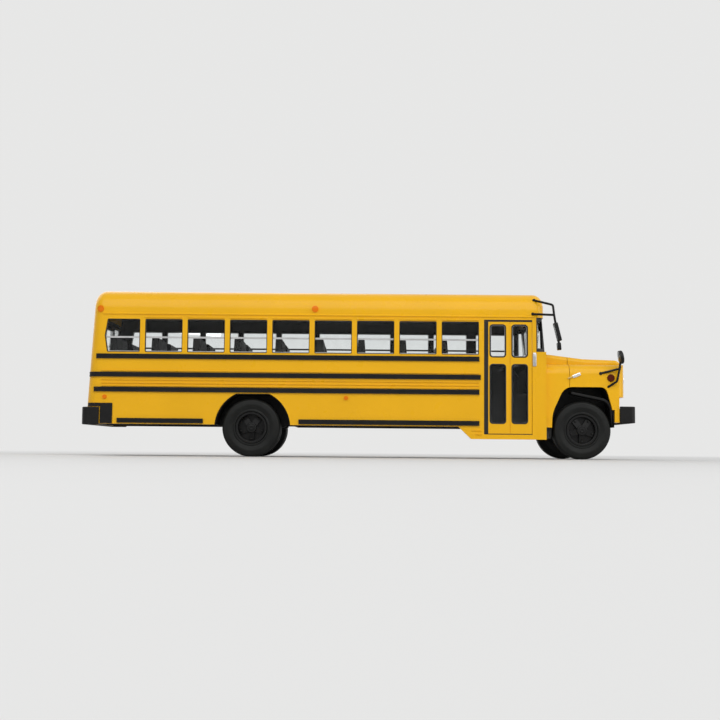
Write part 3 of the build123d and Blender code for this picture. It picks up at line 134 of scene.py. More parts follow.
@dataclass
class NodeSheet:
    """The nodes of a material or world, with its main shader, and helpers that add more."""

    owner: bpy.types.Material | bpy.types.World

    def __post_init__(self) -> None:
        """Starts the tree with an output and a main shader."""
        self.owner.use_nodes = True
        self.tree = self.owner.node_tree
        self.tree.nodes.clear()
        is_world = isinstance(self.owner, bpy.types.World)
        self.output = self.add("OutputWorld" if is_world else "OutputMaterial")
        self.shader = self.add("Background" if is_world else "BsdfPrincipled")
        self.plug(self.output.inputs["Surface"], self.shader.outputs[0])

    @cached_property
    def coordinates(self) -> bpy.types.Node:
        """Returns the tree's coordinate node."""
        return self.add("TexCoord")

    def plug(self, socket: Socket, value: Source) -> None:
        """Feeds an input.

        Args:
            socket: the input.
            value: an output, which is linked, or a plain value, which is set.
        """
        if isinstance(value, Socket):
            self.tree.links.new(value, socket)
        else:
            socket.default_value = value

    def feed(self, node: bpy.types.Node, **inputs: Source) -> None:
        """Feeds a node.

        Args:
            node: the node.
            inputs: names of inputs, with spaces written as underscores, and what feeds them.
        """
        for name, value in inputs.items():
            self.plug(node.inputs[name.replace("_", " ")], value)

    def add(self, kind: str, **inputs: Source) -> bpy.types.Node:
        """Adds a node.

        Args:
            kind: Blender's name of its type, after "ShaderNode".
            inputs: what feeds it.

        Returns:
            The node.
        """
        node = self.tree.nodes.new(f"ShaderNode{kind}")
        self.feed(node, **inputs)
        return node

    def noise(self, scale: float, detail: float, stretch: Point = EVEN) -> Socket:
        """Adds a noise pattern on Object coordinates.

        Args:
            scale: repeats per metre.
            detail: octaves of finer noise.
            stretch: scale of the pattern along each axis.

        Returns:
            The noise's value.
        """
        mapping = self.add("Mapping", Vector=self.coordinates.outputs["Object"], Scale=stretch)
        texture = self.add("TexNoise", Vector=mapping.outputs["Vector"], Scale=scale, Detail=detail)
        return texture.outputs["Fac"]

    def shades(self, value: Socket, colour: Colour, factors: Pair, places: Pair = (0.3, 0.7)) -> Socket:
        """Turns a pattern into shades of a colour.

        Args:
            value: the pattern.
            colour: the colour.
            factors: brightness of the darker and the lighter shade.
            places: the pattern's values at the two shades.

        Returns:
            The shaded colour.
        """
        node = self.add("ValToRGB", Fac=value)
        for element, place, factor in zip(node.color_ramp.elements, places, factors):
            element.position = place
            element.color = (*(min(1.0, channel * factor) for channel in colour), 1.0)
        return node.outputs["Color"]

    def spread(self, value: Socket, low: float, high: float, start: float = 0.0, end: float = 1.0) -> Socket:
        """Maps a value to another range.

        Args:
            value: the value to map.
            low: result at the start.
            high: result at the end.
            start: where the value's range starts.
            end: where the value's range ends.

        Returns:
            The mapped value.
        """
        node = self.add("MapRange", Value=value, From_Min=start, From_Max=end, To_Min=low, To_Max=high)
        return node.outputs["Result"]

    def math(self, operation: str, *values: Source, kind: str = "Math") -> Socket:
        """Adds a calculation.

        Args:
            operation: Blender's name of the calculation.
            values: what it works on.
            kind: the node's type, Math or VectorMath.

        Returns:
            The result.
        """
        node = self.add(kind)
        node.operation = operation
        for socket, value in zip(node.inputs, values):
            self.plug(socket, value)
        return node.outputs["Value"]

    def bump(self, height: Socket, strength: float, depth: float) -> None:
        """Raises the surface by a height pattern.

        Args:
            height: the pattern.
            strength: share of the full effect.
            depth: height of the pattern in metres.
        """
        node = self.add("Bump", Height=height, Strength=strength, Distance=depth)
        self.feed(self.shader, Normal=node.outputs["Normal"])

    def show(self, other: bpy.types.Node, share: Socket) -> None:
        """Shows another shader in place of the main one.

        Args:
            other: the other shader.
            share: its share, 1 where it shows alone.
        """
        mix = self.add("MixShader", Fac=share)
        self.plug(mix.inputs[1], self.shader.outputs[0])
        self.plug(mix.inputs[2], other.outputs[0])
        self.plug(self.output.inputs["Surface"], mix.outputs["Shader"])


@dataclass(frozen=True)
class Coating(ABC):
    """A kind of finish."""

    name: str
    colour: Colour

    def build(self) -> bpy.types.Material:
        """Returns the finished material."""
        sheet = NodeSheet(bpy.data.materials.new(self.name))
        self.fill(sheet)
        return sheet.owner

    @abstractmethod
    def fill(self, sheet: NodeSheet) -> None:
        """Fills the material's nodes."""


@dataclass(frozen=True)
class Paint(Coating):
    """Sprayed enamel on a casting, with a faint orange peel and a clear coat."""

    roughness: float = 0.28
    coat: float = 0.2
    coat_roughness: float = 0.08
    shine: float = 0.16
    ior: float = 1.5
    cloud_scale: float = 45.0
    cloud_shades: Pair = (0.965, 1.02)
    smear_scale: float = 160.0
    smear: Pair = (-0.05, 0.07)
    peel_scale: float = 1400.0
    peel_strength: float = 0.03
    peel_depth: float = 0.012 * MM
    # painted shade: inside the walls, faces that look this way are coloured near black in place of the shade
    # of the unlit cabin
    lining: Point | None = None
    lining_colour: Colour = (0.012, 0.012, 0.012)
    lining_turn: float = 0.25
    half_width: float = 28.25 * MM
    inner_half: float = 27.2 * MM

    def fill(self, sheet: NodeSheet) -> None:
        """Fills the nodes; inside the walls, faces that look the inner shade's way get a painted shade."""
        colour = sheet.shades(sheet.noise(self.cloud_scale, 3.0), self.colour, self.cloud_shades)
        if self.lining is not None:
            colour = self.lined(sheet, colour)
        smear = (self.roughness + change for change in self.smear)
        sheet.feed(
            sheet.shader,
            Base_Color=colour,
            Roughness=sheet.spread(sheet.noise(self.smear_scale, 2.0), *smear),
            Coat_Weight=self.coat,
            Coat_Roughness=self.coat_roughness,
            IOR=self.ior,
            Specular_IOR_Level=self.shine,
        )
        sheet.bump(sheet.noise(self.peel_scale, 2.0), self.peel_strength, self.peel_depth)

    def lined(self, sheet: NodeSheet, colour: Socket) -> Socket:
        """Paints shade on the faces that look into the cabin, standing for the unlit interior; the shade's Y
        is measured towards the middle.

        Args:
            sheet: the material's nodes.
            colour: the paint's colour.

        Returns:
            The colour with the painted shade.
        """
        ahead, inward, up = self.lining
        source = sheet.coordinates.outputs
        y = sheet.add("SeparateXYZ", Vector=source["Object"]).outputs["Y"]
        across = sheet.math("MULTIPLY", y, -inward / self.half_width)
        direction = sheet.add("CombineXYZ", X=ahead, Y=across, Z=up).outputs["Vector"]
        facing = sheet.math("DOT_PRODUCT", source["Normal"], direction, kind="VectorMath")
        # mask of the painted shade: faces inside the walls that look into the cabin
        looks_in = sheet.math("GREATER_THAN", facing, self.lining_turn)
        lies_in = sheet.math("LESS_THAN", sheet.math("ABSOLUTE", y), self.inner_half)
        mix = sheet.add("Mix")
        mix.data_type = "RGBA"
        inside = sheet.math("MULTIPLY", looks_in, lies_in)
        sheet.feed(mix, Factor=inside, A=colour, B=(*self.lining_colour, 1.0))
        return mix.outputs["Result"]


@dataclass(frozen=True)
class Plastic(Coating):
    """Moulded or painted plastic with a fine grain."""

    roughness: float
    grain: float = 2600.0
    grain_depth: float = 0.03
    worn: float = 1.5
    shine: float = 0.2
    grain_strength: float = 0.25
    cloud_scale: float = 220.0
    cloud_places: Pair = (0.35, 0.75)
    darkest: float = 0.8
    smear_scale: float = 500.0
    smear: Pair = (-0.08, 0.1)

    def fill(self, sheet: NodeSheet) -> None:
        """Fills the material's nodes."""
        cloud = sheet.noise(self.cloud_scale, 4.0)
        smear = (self.roughness + change for change in self.smear)
        sheet.feed(
            sheet.shader,
            Base_Color=sheet.shades(cloud, self.colour, (self.darkest, self.worn), self.cloud_places),
            Roughness=sheet.spread(sheet.noise(self.smear_scale, 3.0), *smear),
            Specular_IOR_Level=self.shine,
        )
        sheet.bump(sheet.noise(self.grain, 3.0), self.grain_strength, self.grain_depth * MM)


@dataclass(frozen=True)
class Metal(Coating):
    """Bright or brushed metal."""

    roughness: float
    brushed: Point = EVEN
    brush_scale: float = 900.0
    brush_shades: Pair = (0.88, 1.05)
    brush_gloss: Pair = (0.7, 1.4)
    brush_strength: float = 0.06
    brush_depth: float = 0.01 * MM

    def fill(self, sheet: NodeSheet) -> None:
        """Fills the material's nodes."""
        brush = sheet.noise(self.brush_scale, 4.0, self.brushed)
        gloss = (self.roughness * factor for factor in self.brush_gloss)
        sheet.feed(
            sheet.shader,
            Base_Color=sheet.shades(brush, self.colour, self.brush_shades),
            Roughness=sheet.spread(brush, *gloss),
            Metallic=1.0,
        )
        sheet.bump(brush, self.brush_strength, self.brush_depth)


@dataclass(frozen=True)
class Clear(Coating):
    """Clear or coloured transparent plastic."""

    roughness: float
    transmission: float = 1.0
    ripple: float = 0.02
    ripple_scale: float = 300.0
    ripple_stretch: Point = EVEN
    ripple_shades: Pair = (0.97, 1.0)
    ripple_strength: float = 0.2
    ior: float = 1.45

    def fill(self, sheet: NodeSheet) -> None:
        """Fills the material's nodes."""
        ripple = sheet.noise(self.ripple_scale, 2.0, self.ripple_stretch)
        sheet.feed(
            sheet.shader,
            Base_Color=sheet.shades(ripple, self.colour, self.ripple_shades),
            Roughness=self.roughness,
            Transmission_Weight=self.transmission,
            IOR=self.ior,
        )
        sheet.bump(ripple, self.ripple_strength, self.ripple * MM)


class Finish(Enum):
    """Every finish of the model."""

    PAINT = Paint("chrome_yellow_enamel", YELLOW)
    # the roof, wall and rear copies add a painted shade, near black, on the faces that look into the cabin
    ROOF = Paint("chrome_yellow_enamel_roof", YELLOW, lining=(0.0, 1.0, -1.0))
    WALL = Paint("chrome_yellow_enamel_wall", YELLOW, lining=(0.0, 1.0, 0.0))
    REAR = Paint("chrome_yellow_enamel_rear", YELLOW, lining=(1.0, 1.0, 0.0))
    SIGN = Paint("sign_red_enamel", (0.45, 0.012, 0.01), 0.35)
    TRIM = Plastic("black_trim_paint", BLACK, 0.38, 2600.0, 0.015)
    RUBBER = Plastic("black_rubber", BLACK, 0.35, 3200.0, 0.015, 1.5, 0.35)
    BEAD = Plastic("glossy_door_rubber", (0.005, 0.005, 0.005), 0.18, 3200.0, 0.005, 1.4, 0.5)
    INTERIOR = Plastic("interior_black_plastic", BLACK, 0.55, 2600.0, 0.006)
    BASE = Plastic("base_black_plastic", (0.008, 0.008, 0.008), 0.5, 1700.0, 0.05)
    RIM = Plastic("wheel_black_plastic", (0.004, 0.004, 0.004), 0.36, 2000.0, 0.02, 1.5, 0.22)
    TYRE = Plastic("tyre_rubber", (0.005, 0.0055, 0.005), 0.5, 2400.0, 0.05, 1.7, 0.2)
    CHROME = Metal("bright_plating", (0.82, 0.82, 0.83), 0.12)
    SILVER = Metal("silver_window_frame", (0.5, 0.5, 0.5), 0.3, (0.2, 1.0, 1.0))
    BRASS = Metal("dull_brass_wire", (0.62, 0.44, 0.16), 0.3)
    STEEL = Metal("axle_steel", (0.55, 0.55, 0.56), 0.3, (1.0, 0.1, 1.0))
    MIRROR = Metal("mirror_foil", (0.12, 0.13, 0.13), 0.15)
    GLAZING = Clear("clear_glazing", (0.93, 0.95, 0.95), 0.01, ior=1.22)
    LENS = Clear("fluted_clear_lens", (0.96, 0.97, 0.97), 0.03, 1.0, 0.12, 1500.0, (0.1, 1.0, 0.15))
    AMBER = Clear("amber_lens", (0.92, 0.22, 0.002), 0.08, 0.15, 0.08, 1500.0, ior=1.25)
    RED = Clear("red_lens", (0.62, 0.02, 0.008), 0.08, 0.3, 0.08, 1500.0)
    DARK_RED = Clear("dark_red_lens", (0.11, 0.014, 0.003), 0.1, 0.15, 0.08, 1500.0, ior=1.2)

    @cached_property
    def material(self) -> bpy.types.Material:
        """Returns the finish's material, which is built once."""
        return self.value.build()


# Work in Blender


@contextmanager
def chosen(piece: Piece) -> Iterator[None]:
    """Makes a piece the active and only selected one, and deselects it after.

    Args:
        piece: the piece to work on.
    """
    bpy.ops.object.select_all(action="DESELECT")
    bpy.context.view_layer.objects.active = piece
    piece.select_set(True)
    yield
    piece.select_set(False)


@contextmanager
def editing(piece: Piece) -> Iterator[None]:
    """Opens a piece in edit mode with everything selected, and closes it after.

    Args:
        piece: the mesh to edit.
    """
    with chosen(piece):
        bpy.ops.object.mode_set(mode="EDIT")
        bpy.ops.mesh.select_mode(type="FACE")
        bpy.ops.mesh.select_all(action="SELECT")
        yield
        bpy.ops.object.mode_set(mode="OBJECT")


def pick(piece: Piece, element: Element, wanted: Callable[..., bool]) -> None:
    """Selects parts of a piece in edit mode.

    Args:
        piece: the mesh being edited.
        element: the kind of part.
        wanted: says of each part whether to select it.
    """
    bpy.ops.mesh.select_mode(type=element.name)
    bpy.ops.mesh.select_all(action="DESELECT")
    mesh = bmesh.from_edit_mesh(piece.data)
    for part in getattr(mesh, element.value):
        part.select_set(wanted(part))
    mesh.select_flush_mode()
    bmesh.update_edit_mesh(piece.data)


def settle(piece: Piece) -> None:
    """Puts a piece's place, turn and scale into its mesh."""
    with chosen(piece):
        bpy.ops.object.transform_apply(location=True, rotation=True, scale=True)


def moved(piece: Piece, place: Point, turn: Point = ORIGIN) -> Piece:
    """Turns and moves a piece and puts both into its mesh.

    Args:
        piece: the piece to move.
        place: the new place of its origin.
        turn: turn about X, Y and Z in radians.

    Returns:
        The same piece.
    """
    piece.location = place
    piece.rotation_euler = turn
    settle(piece)
    return piece


def apply_modifier(piece: Piece, kind: str, **values: float | int | str) -> None:
    """Adds a modifier to a piece and applies it.

    Args:
        piece: the mesh to change.
        kind: the modifier's type.
        values: its settings.
    """
    with chosen(piece):
        modifier = piece.modifiers.new(kind.lower(), kind)
        for name, value in values.items():
            setattr(modifier, name, value)
        bpy.ops.object.modifier_apply(modifier=modifier.name)


def rounded(piece: Piece, radius: float, segments: int, angle: float = 50.0) -> Piece:
    """Rounds a piece's edges and shades it smooth.

    Args:
        piece: the mesh to round.
        radius: radius of the edges.
        segments: faces across each edge.
        angle: the smallest angle in degrees at which an edge is rounded.

    Returns:
        The same piece.
    """
    limit = math.radians(angle)
    apply_modifier(piece, "BEVEL", width=radius, segments=segments, limit_method="ANGLE", angle_limit=limit)
    with chosen(piece):
        bpy.ops.object.shade_smooth_by_angle(angle=SMOOTH_ANGLE)
    return piece


def active_as(name: str) -> Piece:
    """Names the active object, as after adding one, and returns it."""
    piece = bpy.context.object
    piece.name = piece.data.name = name
    return piece


def copied(piece: Piece, name: str) -> Piece:
    """Copies a piece with its own mesh.

    Args:
        piece: the piece to copy.
        name: the copy's name.

    Returns:
        The copy.
    """
    twin = piece.copy()
    twin.data = piece.data.copy()
    twin.name = twin.data.name = name
    bpy.context.collection.objects.link(twin)
    return twin


def joined(pieces: list[Piece], name: str) -> Piece:
    """Joins pieces into one object.

    Args:
        pieces: the pieces to join.
        name: the result's name.

    Returns:
        The joined piece.
    """
    with chosen(pieces[0]):
        for piece in pieces[1:]:
            piece.select_set(True)
        bpy.ops.object.join()
    return active_as(name)


def plate(name: str, width: float, height: float, radius: float) -> Piece:
    """Makes a flat plate with round corners, upright in X and Z, centred on the origin.

    Args:
        name: the piece's name.
        width: size along X.
        height: size along Z.
        radius: radius of the corners.

    Returns:
        The plate, a single face.
    """
    bpy.ops.mesh.primitive_plane_add(size=1.0, rotation=(QUARTER_TURN, 0.0, 0.0))
    piece = active_as(name)
    piece.scale = (width, height, 1.0)
    settle(piece)
    with editing(piece):
        bpy.ops.mesh.select_mode(type="VERT")
        bpy.ops.mesh.select_all(action="SELECT")
        bpy.ops.mesh.bevel(offset=radius, segments=CORNER_SEGMENTS, affect="VERTICES")
    return piece


def round_plate(name: str, radius: float, sides: int) -> Piece:
    """Makes a flat round plate, upright in X and Z, centred on the origin.

    Args:
        name: the piece's name.
        radius: its radius.
        sides: sides of its outline.

    Returns:
        The plate, a single face.
    """
    turn = (QUARTER_TURN, math.pi / sides, 0.0)
    bpy.ops.mesh.primitive_circle_add(vertices=sides, radius=radius, fill_type="NGON", rotation=turn)
    piece = active_as(name)
    settle(piece)
    return piece


def thickened(piece: Piece, depth: float, rounding: float) -> Piece:
    """Gives a flat piece a thickness, half to each side, and rounds its edges.

    Args:
        piece: the flat piece.
        depth: its new thickness.
        rounding: radius of the edges.

    Returns:
        The same piece.
    """
    apply_modifier(piece, "SOLIDIFY", thickness=depth, offset=0.0)
    return rounded(piece, rounding, 3)


def hollowed(piece: Piece, band: float) -> Piece:
    """Cuts the middle out of a flat plate.

    Args:
        piece: the plate, a single face.
        band: width of the ring that is left.

    Returns:
        The same piece.
    """
    with editing(piece):
        bpy.ops.mesh.inset(thickness=band, depth=0.0)
        bpy.ops.mesh.delete(type="FACE")
    return piece


def ring(name: str, width: float, height: float, radius: float, band: float, depth: float) -> Piece:
    """Makes a flat rounded ring, upright in X and Z, centred on the origin.

    Args:
        name: the piece's name.
        width: outer size along X.
        height: outer size along Z.
        radius: outer radius of the corners.
        band: width of the ring's band.
        depth: thickness along Y.

    Returns:
        The ring.
    """
    return thickened(hollowed(plate(name, width, height, radius), band), depth, min(band, depth) * EDGE_SHARE)


@dataclass(frozen=True)
class Pressing:
    """A plate with round corners and a raised middle.

    Attributes:
        size: size along X and Z.
        corner: radius of the corners.
        slope: width of the slope round the middle.
        crown: height of the middle.
        depth: thickness.
        rounding: radius of the edges.
    """

    size: Pair
    corner: float
    slope: float
    crown: float
    depth: float
    rounding: float

    def build(self, name: str) -> Piece:
        """Makes the plate, upright in X and Z, centred on the origin.

        Args:
            name: the piece's name.

        Returns:
            The plate.
        """
        piece = plate(name, *self.size, self.corner)
        with editing(piece):
            bpy.ops.mesh.inset(thickness=self.slope, depth=self.crown)
        return thickened(piece, self.depth, self.rounding)


@dataclass(frozen=True)
class Turning:
    """A stepped boss.

    Attributes:
        sides: sides of its outline.
        radius: radius of its foot.
        height: height of its first step.
        rounding: radius of its edges.
        steps: for each further step, how far it is drawn in and how far it rises or, below zero, sinks.
    """

    sides: int
    radius: float
    height: float
    rounding: float
    steps: tuple[Pair, ...]

    def build(self, name: str) -> Piece:
        """Makes the boss, which stands on the origin and looks along -Y.

        Args:
            name: the piece's name.

        Returns:
            The boss.
        """
        turn, middle = (QUARTER_TURN, 0.0, 0.0), (0.0, -self.height / 2, 0.0)
        bpy.ops.mesh.primitive_cylinder_add(
            vertices=self.sides, radius=self.radius, depth=self.height, rotation=turn, location=middle
        )
        piece = active_as(name)
        settle(piece)
        with editing(piece):
            pick(piece, Element.FACE, lambda face: face.normal.y < -0.9)
            for inset, rise in self.steps:
                bpy.ops.mesh.inset(thickness=inset, depth=0.0)
                bpy.ops.mesh.extrude_region_move(TRANSFORM_OT_translate={"value": (0.0, -rise, 0.0)})
        return rounded(piece, self.rounding, 2, 35.0)


def coat(piece: Piece, finish: Finish) -> None:
    """Gives a piece a finish in place of any other."""
    piece.data.materials.clear()
    piece.data.materials.append(finish.material)


def dress(piece: Piece, finish: Finish, body: Body = Body.COACH) -> None:
    """Finishes a new piece and fixes it to its body.

    Args:
        piece: the new piece.
        finish: its finish.
        body: the body that carries it.
    """
    coat(piece, finish)
    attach(piece, body.value)
    LOG.info("%s: %s on %s", piece.name, finish.value.name, body.value)


# Sub-assemblies


class Assembly(ABC):
    """A part of the model that is built or dressed on its own."""

    @abstractmethod
    def build(self) -> None:
        """Makes and dresses the assembly."""


@dataclass
class Castings(Assembly):
    """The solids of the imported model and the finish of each."""

    nodes: dict[str, Piece]
    finishes: ClassVar[dict[Finish, tuple[str, ...]]] = {
        Finish.ROOF: ("roof",),
        Finish.WALL: ("side_wall_right", "side_wall_left", "entrance_door"),
        Finish.REAR: ("rear_wall", "emergency_door"),
        Finish.PAINT: ("cowl_panel", "cowl_quarters", "hood_and_fenders"),
        Finish.RUBBER: ("door_seal", "wipers", "windscreen_frame"),
        Finish.SILVER: ("window_frames_right", "window_frames_left"),
        Finish.TRIM: (
            *("rub_rails_right", "rub_rails_left", "rear_corner_guards", "front_bumper", "rear_bumper"),
            *("mirror_right", "mirror_left", "fender_mirrors", "grille"),
        ),
        Finish.CHROME: ("headlamp_bezels", "hood_latches", "exit_handle"),
        Finish.LENS: ("headlamps",),
        Finish.AMBER: ("front_turn_lamps", "warning_lamps_amber", "marker_lamps_amber"),
        Finish.RED: ("warning_lamps_red", "tail_lamps"),
        Finish.DARK_RED: ("marker_lamps_red",),
        Finish.SIGN: ("stop_arm",),
        Finish.GLAZING: ("glass_right", "glass_left", "windscreen_glass", "rear_glass", "door_glass"),
        Finish.INTERIOR: (
            *("cabin_floor", "entrance_steps", "seats_right", "seats_left"),
            *("driver_seat", "dashboard", "steering_wheel"),
        ),
        Finish.BASE: (
            *("chassis_base", "chassis_frame", "driveline", "exhaust"),
            *("front_axle_beam", "rear_axle_casing", "front_wheel_houses", "rear_wheel_houses"),
        ),
        Finish.STEEL: ("front_axle_pin", "rear_axle_pin"),
        Finish.RIM: ("front_rims", "rear_rims"),
        Finish.TYRE: ("front_tyres", "rear_tyres"),
    }

    def build(self) -> None:
        """Finishes every solid."""
        for finish, names in self.finishes.items():
            for name in names:
                coat(self.nodes[name], finish)
                LOG.info("%s: %s", name, finish.value.name)


@dataclass
class EntranceTrim(Assembly):
    """Beads round the four door panes, silver rings in the upper two as a painted highlight on the glass
    edges, and the strip ahead of the door.
    """

    pane_width: float = 7.1 * MM
    pane_shift: float = -0.55 * MM
    pane_heights: Pair = mm(14.2, 25.45)
    head_drop: float = 1.05 * MM
    pane_spacing: float = 2.6 * MM
    corner: float = 1.5 * MM
    band: float = 0.62 * MM
    depth: float = 0.9 * MM
    proud: float = 0.12 * MM
    # painted highlight: a thin silver ring inside each upper bead stands for light caught on the glass edge
    edge_band: float = 0.16 * MM
    edge_depth: float = 0.3 * MM
    edge_sink: float = 0.3 * MM
    edge_overlap: float = 0.05 * MM
    strip: Pressing = Pressing(mm(1.5, 5.8), *mm(0.5, 0.3, 0.12, 0.3, 0.1))
    strip_setback: float = 4.95 * MM
    strip_drop: float = 1.8 * MM
    recess: float = 0.25 * MM

    def build(self) -> None:
        """Makes and dresses the beads, the painted highlights and the strip."""
        low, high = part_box("entrance_door")
        leaf = (high.x - low.x) / 2
        top = high.z - self.head_drop
        for row, height in zip(("upper", "lower"), self.pane_heights):
            pattern = ring("bead", self.pane_width, height, self.corner, self.band, self.depth)
            z = top - height / 2
            for end, middle in (("rear", low.x + leaf / 2), ("front", low.x + leaf * 1.5)):
                x = middle + self.pane_shift
                bead = copied(pattern, f"door_bead_{row}_{end}")
                moved(bead, (x, low.y - self.proud + self.depth / 2, z))
                dress(bead, Finish.BEAD)
                if row == "upper":
                    self.build_edge(end, (x, low.y + self.edge_sink, z))
            bpy.data.objects.remove(pattern)
            top -= height + self.pane_spacing
        self.build_strip()

    def build_edge(self, end: str, place: Point) -> None:
        """Makes the silver ring inside the bead of one upper pane, a painted highlight for the light that the
        glass edge catches.

        Args:
            end: the pane's end of the door, for the piece's name.
            place: the pane's middle.
        """
        inset = 2 * (self.band - self.edge_overlap)
        width, height = self.pane_width - inset, self.pane_heights[0] - inset
        corner = self.corner - self.band
        # silver ring as a painted highlight on the glass edge
        edge = ring(f"door_pane_edge_{end}", width, height, corner, self.edge_band, self.edge_depth)
        dress(moved(edge, place), Finish.SILVER)

    def build_strip(self) -> None:
        """Makes the bright strip on the post ahead of the door."""
        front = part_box("side_wall_right")[1].x
        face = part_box("entrance_door")[0].y - self.recess
        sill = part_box("window_frames_right")[0].z
        strip = self.strip.build("door_post_strip")
        moved(strip, (front - self.strip_setback, face - self.strip.crown, sill - self.strip_drop))
        dress(strip, Finish.SILVER)


@dataclass
class SideWindows(Assembly):
    """Thin black outlines in the window openings of both sides."""

    width: float = 15.8 * MM
    pitch: float = 17.92 * MM
    height: float = 14.1 * MM
    corner: float = 0.6 * MM
    count: int = 8
    rear_width: float = 14.9 * MM
    point: float = 1.1 * MM
    driver_width: float = 18.3 * MM
    sash_gap: float = 0.03 * MM
    band: float = 0.3 * MM
    depth: float = 0.8 * MM

    def build(self) -> None:
        """Makes and dresses the outlines."""
        low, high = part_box("window_frames_right")
        front = high.x + self.sash_gap
        rear = low.x - self.sash_gap
        z = (low.z + high.z) / 2
        reach = -low.y + self.depth / 2 + self.sash_gap
        shape = (self.height, self.corner, self.band, self.depth)
        plain = ring("outline", self.width, *shape)
        pointed = self.pointed_ring("pointed_outline")
        windows = [(plain, front - self.width / 2 - number * self.pitch) for number in range(self.count)]
        windows.append((pointed, rear + self.rear_width / 2))
        for side in Side:
            for number, (pattern, x) in enumerate(windows):
                outline = copied(pattern, f"window_outline_{side.word}_{number + 1}")
                moved(outline, (x, side.value * reach, z))
                dress(outline, Finish.RUBBER)
        for pattern in (plain, pointed):
            bpy.data.objects.remove(pattern)
        driver_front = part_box("window_frames_left")[1].x + self.sash_gap
        driver = ring("driver_window_outline", self.driver_width, *shape)
        moved(driver, (driver_front - self.driver_width / 2, reach, z))
        dress(driver, Finish.RUBBER)

    def pointed_ring(self, name: str) -> Piece:
        """Makes the outline of the rearmost pane, whose rear edge is pointed.

        Args:
            name: the piece's name.

        Returns:
            The outline, centred on the origin.
        """
        rear = -self.rear_width / 2 + self.corner
        piece = plate(name, self.rear_width, self.height, self.corner)
        with editing(piece):
            pick(piece, Element.VERT, lambda vertex: vertex.co.x < rear + TINY)
            bpy.ops.transform.translate(value=(self.point, 0.0, 0.0))
            pick(piece, Element.EDGE, self.is_rear_edge)
            bpy.ops.mesh.subdivide(number_cuts=1)
            pick(piece, Element.VERT, lambda vertex: vertex.co.x < 0.0 and abs(vertex.co.z) < TINY)
            bpy.ops.transform.translate(value=(-self.point, 0.0, 0.0))
        return thickened(hollowed(piece, self.band), self.depth, self.band * EDGE_SHARE)

    def is_rear_edge(self, edge: bmesh.types.BMEdge) -> bool:
        """Returns whether an edge is the long upright one at a plate's rear."""
        first, second = (vertex.co for vertex in edge.verts)
        upright = abs(first.x - second.x) < TINY
        return upright and first.x < 0.0 and abs(first.z - second.z) > self.height / 2


@dataclass
class RearTrim(Assembly):
    """Rubber round the rear windows and the hinges of the emergency door."""

    lean: float = math.atan2(2.4, 46.4)
    window_reach: Pair = mm(9.7, 23.15)
    window_height: float = 14.1 * MM
    exit_pane: Pair = mm(11.16, 12.5)
    exit_recess: float = 0.25 * MM
    corner: float = 1.2 * MM
    band: float = 0.5 * MM
    depth: float = 1.0 * MM
    proud: float = 0.1 * MM
    exit_half: float = 7.5 * MM
    hinge_shares: tuple[float, ...] = (0.065, 0.505, 0.925)
    strap: Pair = mm(3.0, 1.6)
    strap_corner: float = 0.4 * MM
    strap_depth: float = 0.3 * MM
    strap_rounding: float = 0.08 * MM
    knuckle: Turning = Turning(16, *mm(0.42, 3.4, 0.05), (mm(0.12, 0.15),))
    knuckle_proud: float = 0.25 * MM

    def wall_x(self, z: float) -> float:
        """Returns where the outside of the leaning rear wall is at a height."""
        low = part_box("rear_wall")[0]
        return low.x + (z - low.z) * math.tan(self.lean)

    def build(self) -> None:
        """Makes and dresses the seals and hinges."""
        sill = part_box("window_frames_right")[0].z
        inner, outer = self.window_reach
        window = (outer - inner, self.window_height)
        spans = (
            ("rear_window_seal_right", -(inner + outer) / 2, window, 0.0),
            ("rear_window_seal_left", (inner + outer) / 2, window, 0.0),
            ("emergency_door_seal", 0.0, self.exit_pane, self.exit_recess),
        )
        for name, y, (width, height), recess in spans:
            seal = ring(name, width, height, self.corner, self.band, self.depth)
            z = sill + height / 2
            place = (self.wall_x(z) + recess + self.depth / 2 - self.proud, y, z)
            moved(seal, place, (self.lean, 0.0, QUARTER_TURN))
            dress(seal, Finish.RUBBER)
        low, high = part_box("emergency_door")
        for number, share in enumerate(self.hinge_shares):
            z = low.z + share * (high.z - low.z)
            self.build_hinge(f"emergency_door_hinge_{number + 1}", z)

    def build_hinge(self, name: str, z: float) -> None:
        """Makes one hinge: a strap across the gap with a knuckle on it.

        Args:
            name: the hinge's name.
            z: its height.
        """
        strap = plate(f"{name}_strap", *self.strap, self.strap_corner)
        thickened(strap, self.strap_depth, self.strap_rounding)
        knuckle = self.knuckle.build(f"{name}_knuckle")
        moved(knuckle, (0.0, -self.knuckle_proud, -self.knuckle.height / 2), (-QUARTER_TURN, 0.0, 0.0))
        hinge = joined([strap, knuckle], name)
        place = (self.wall_x(z) - self.proud, -self.exit_half, z)
        dress(moved(hinge, place, (self.lean, 0.0, -QUARTER_TURN)), Finish.PAINT)


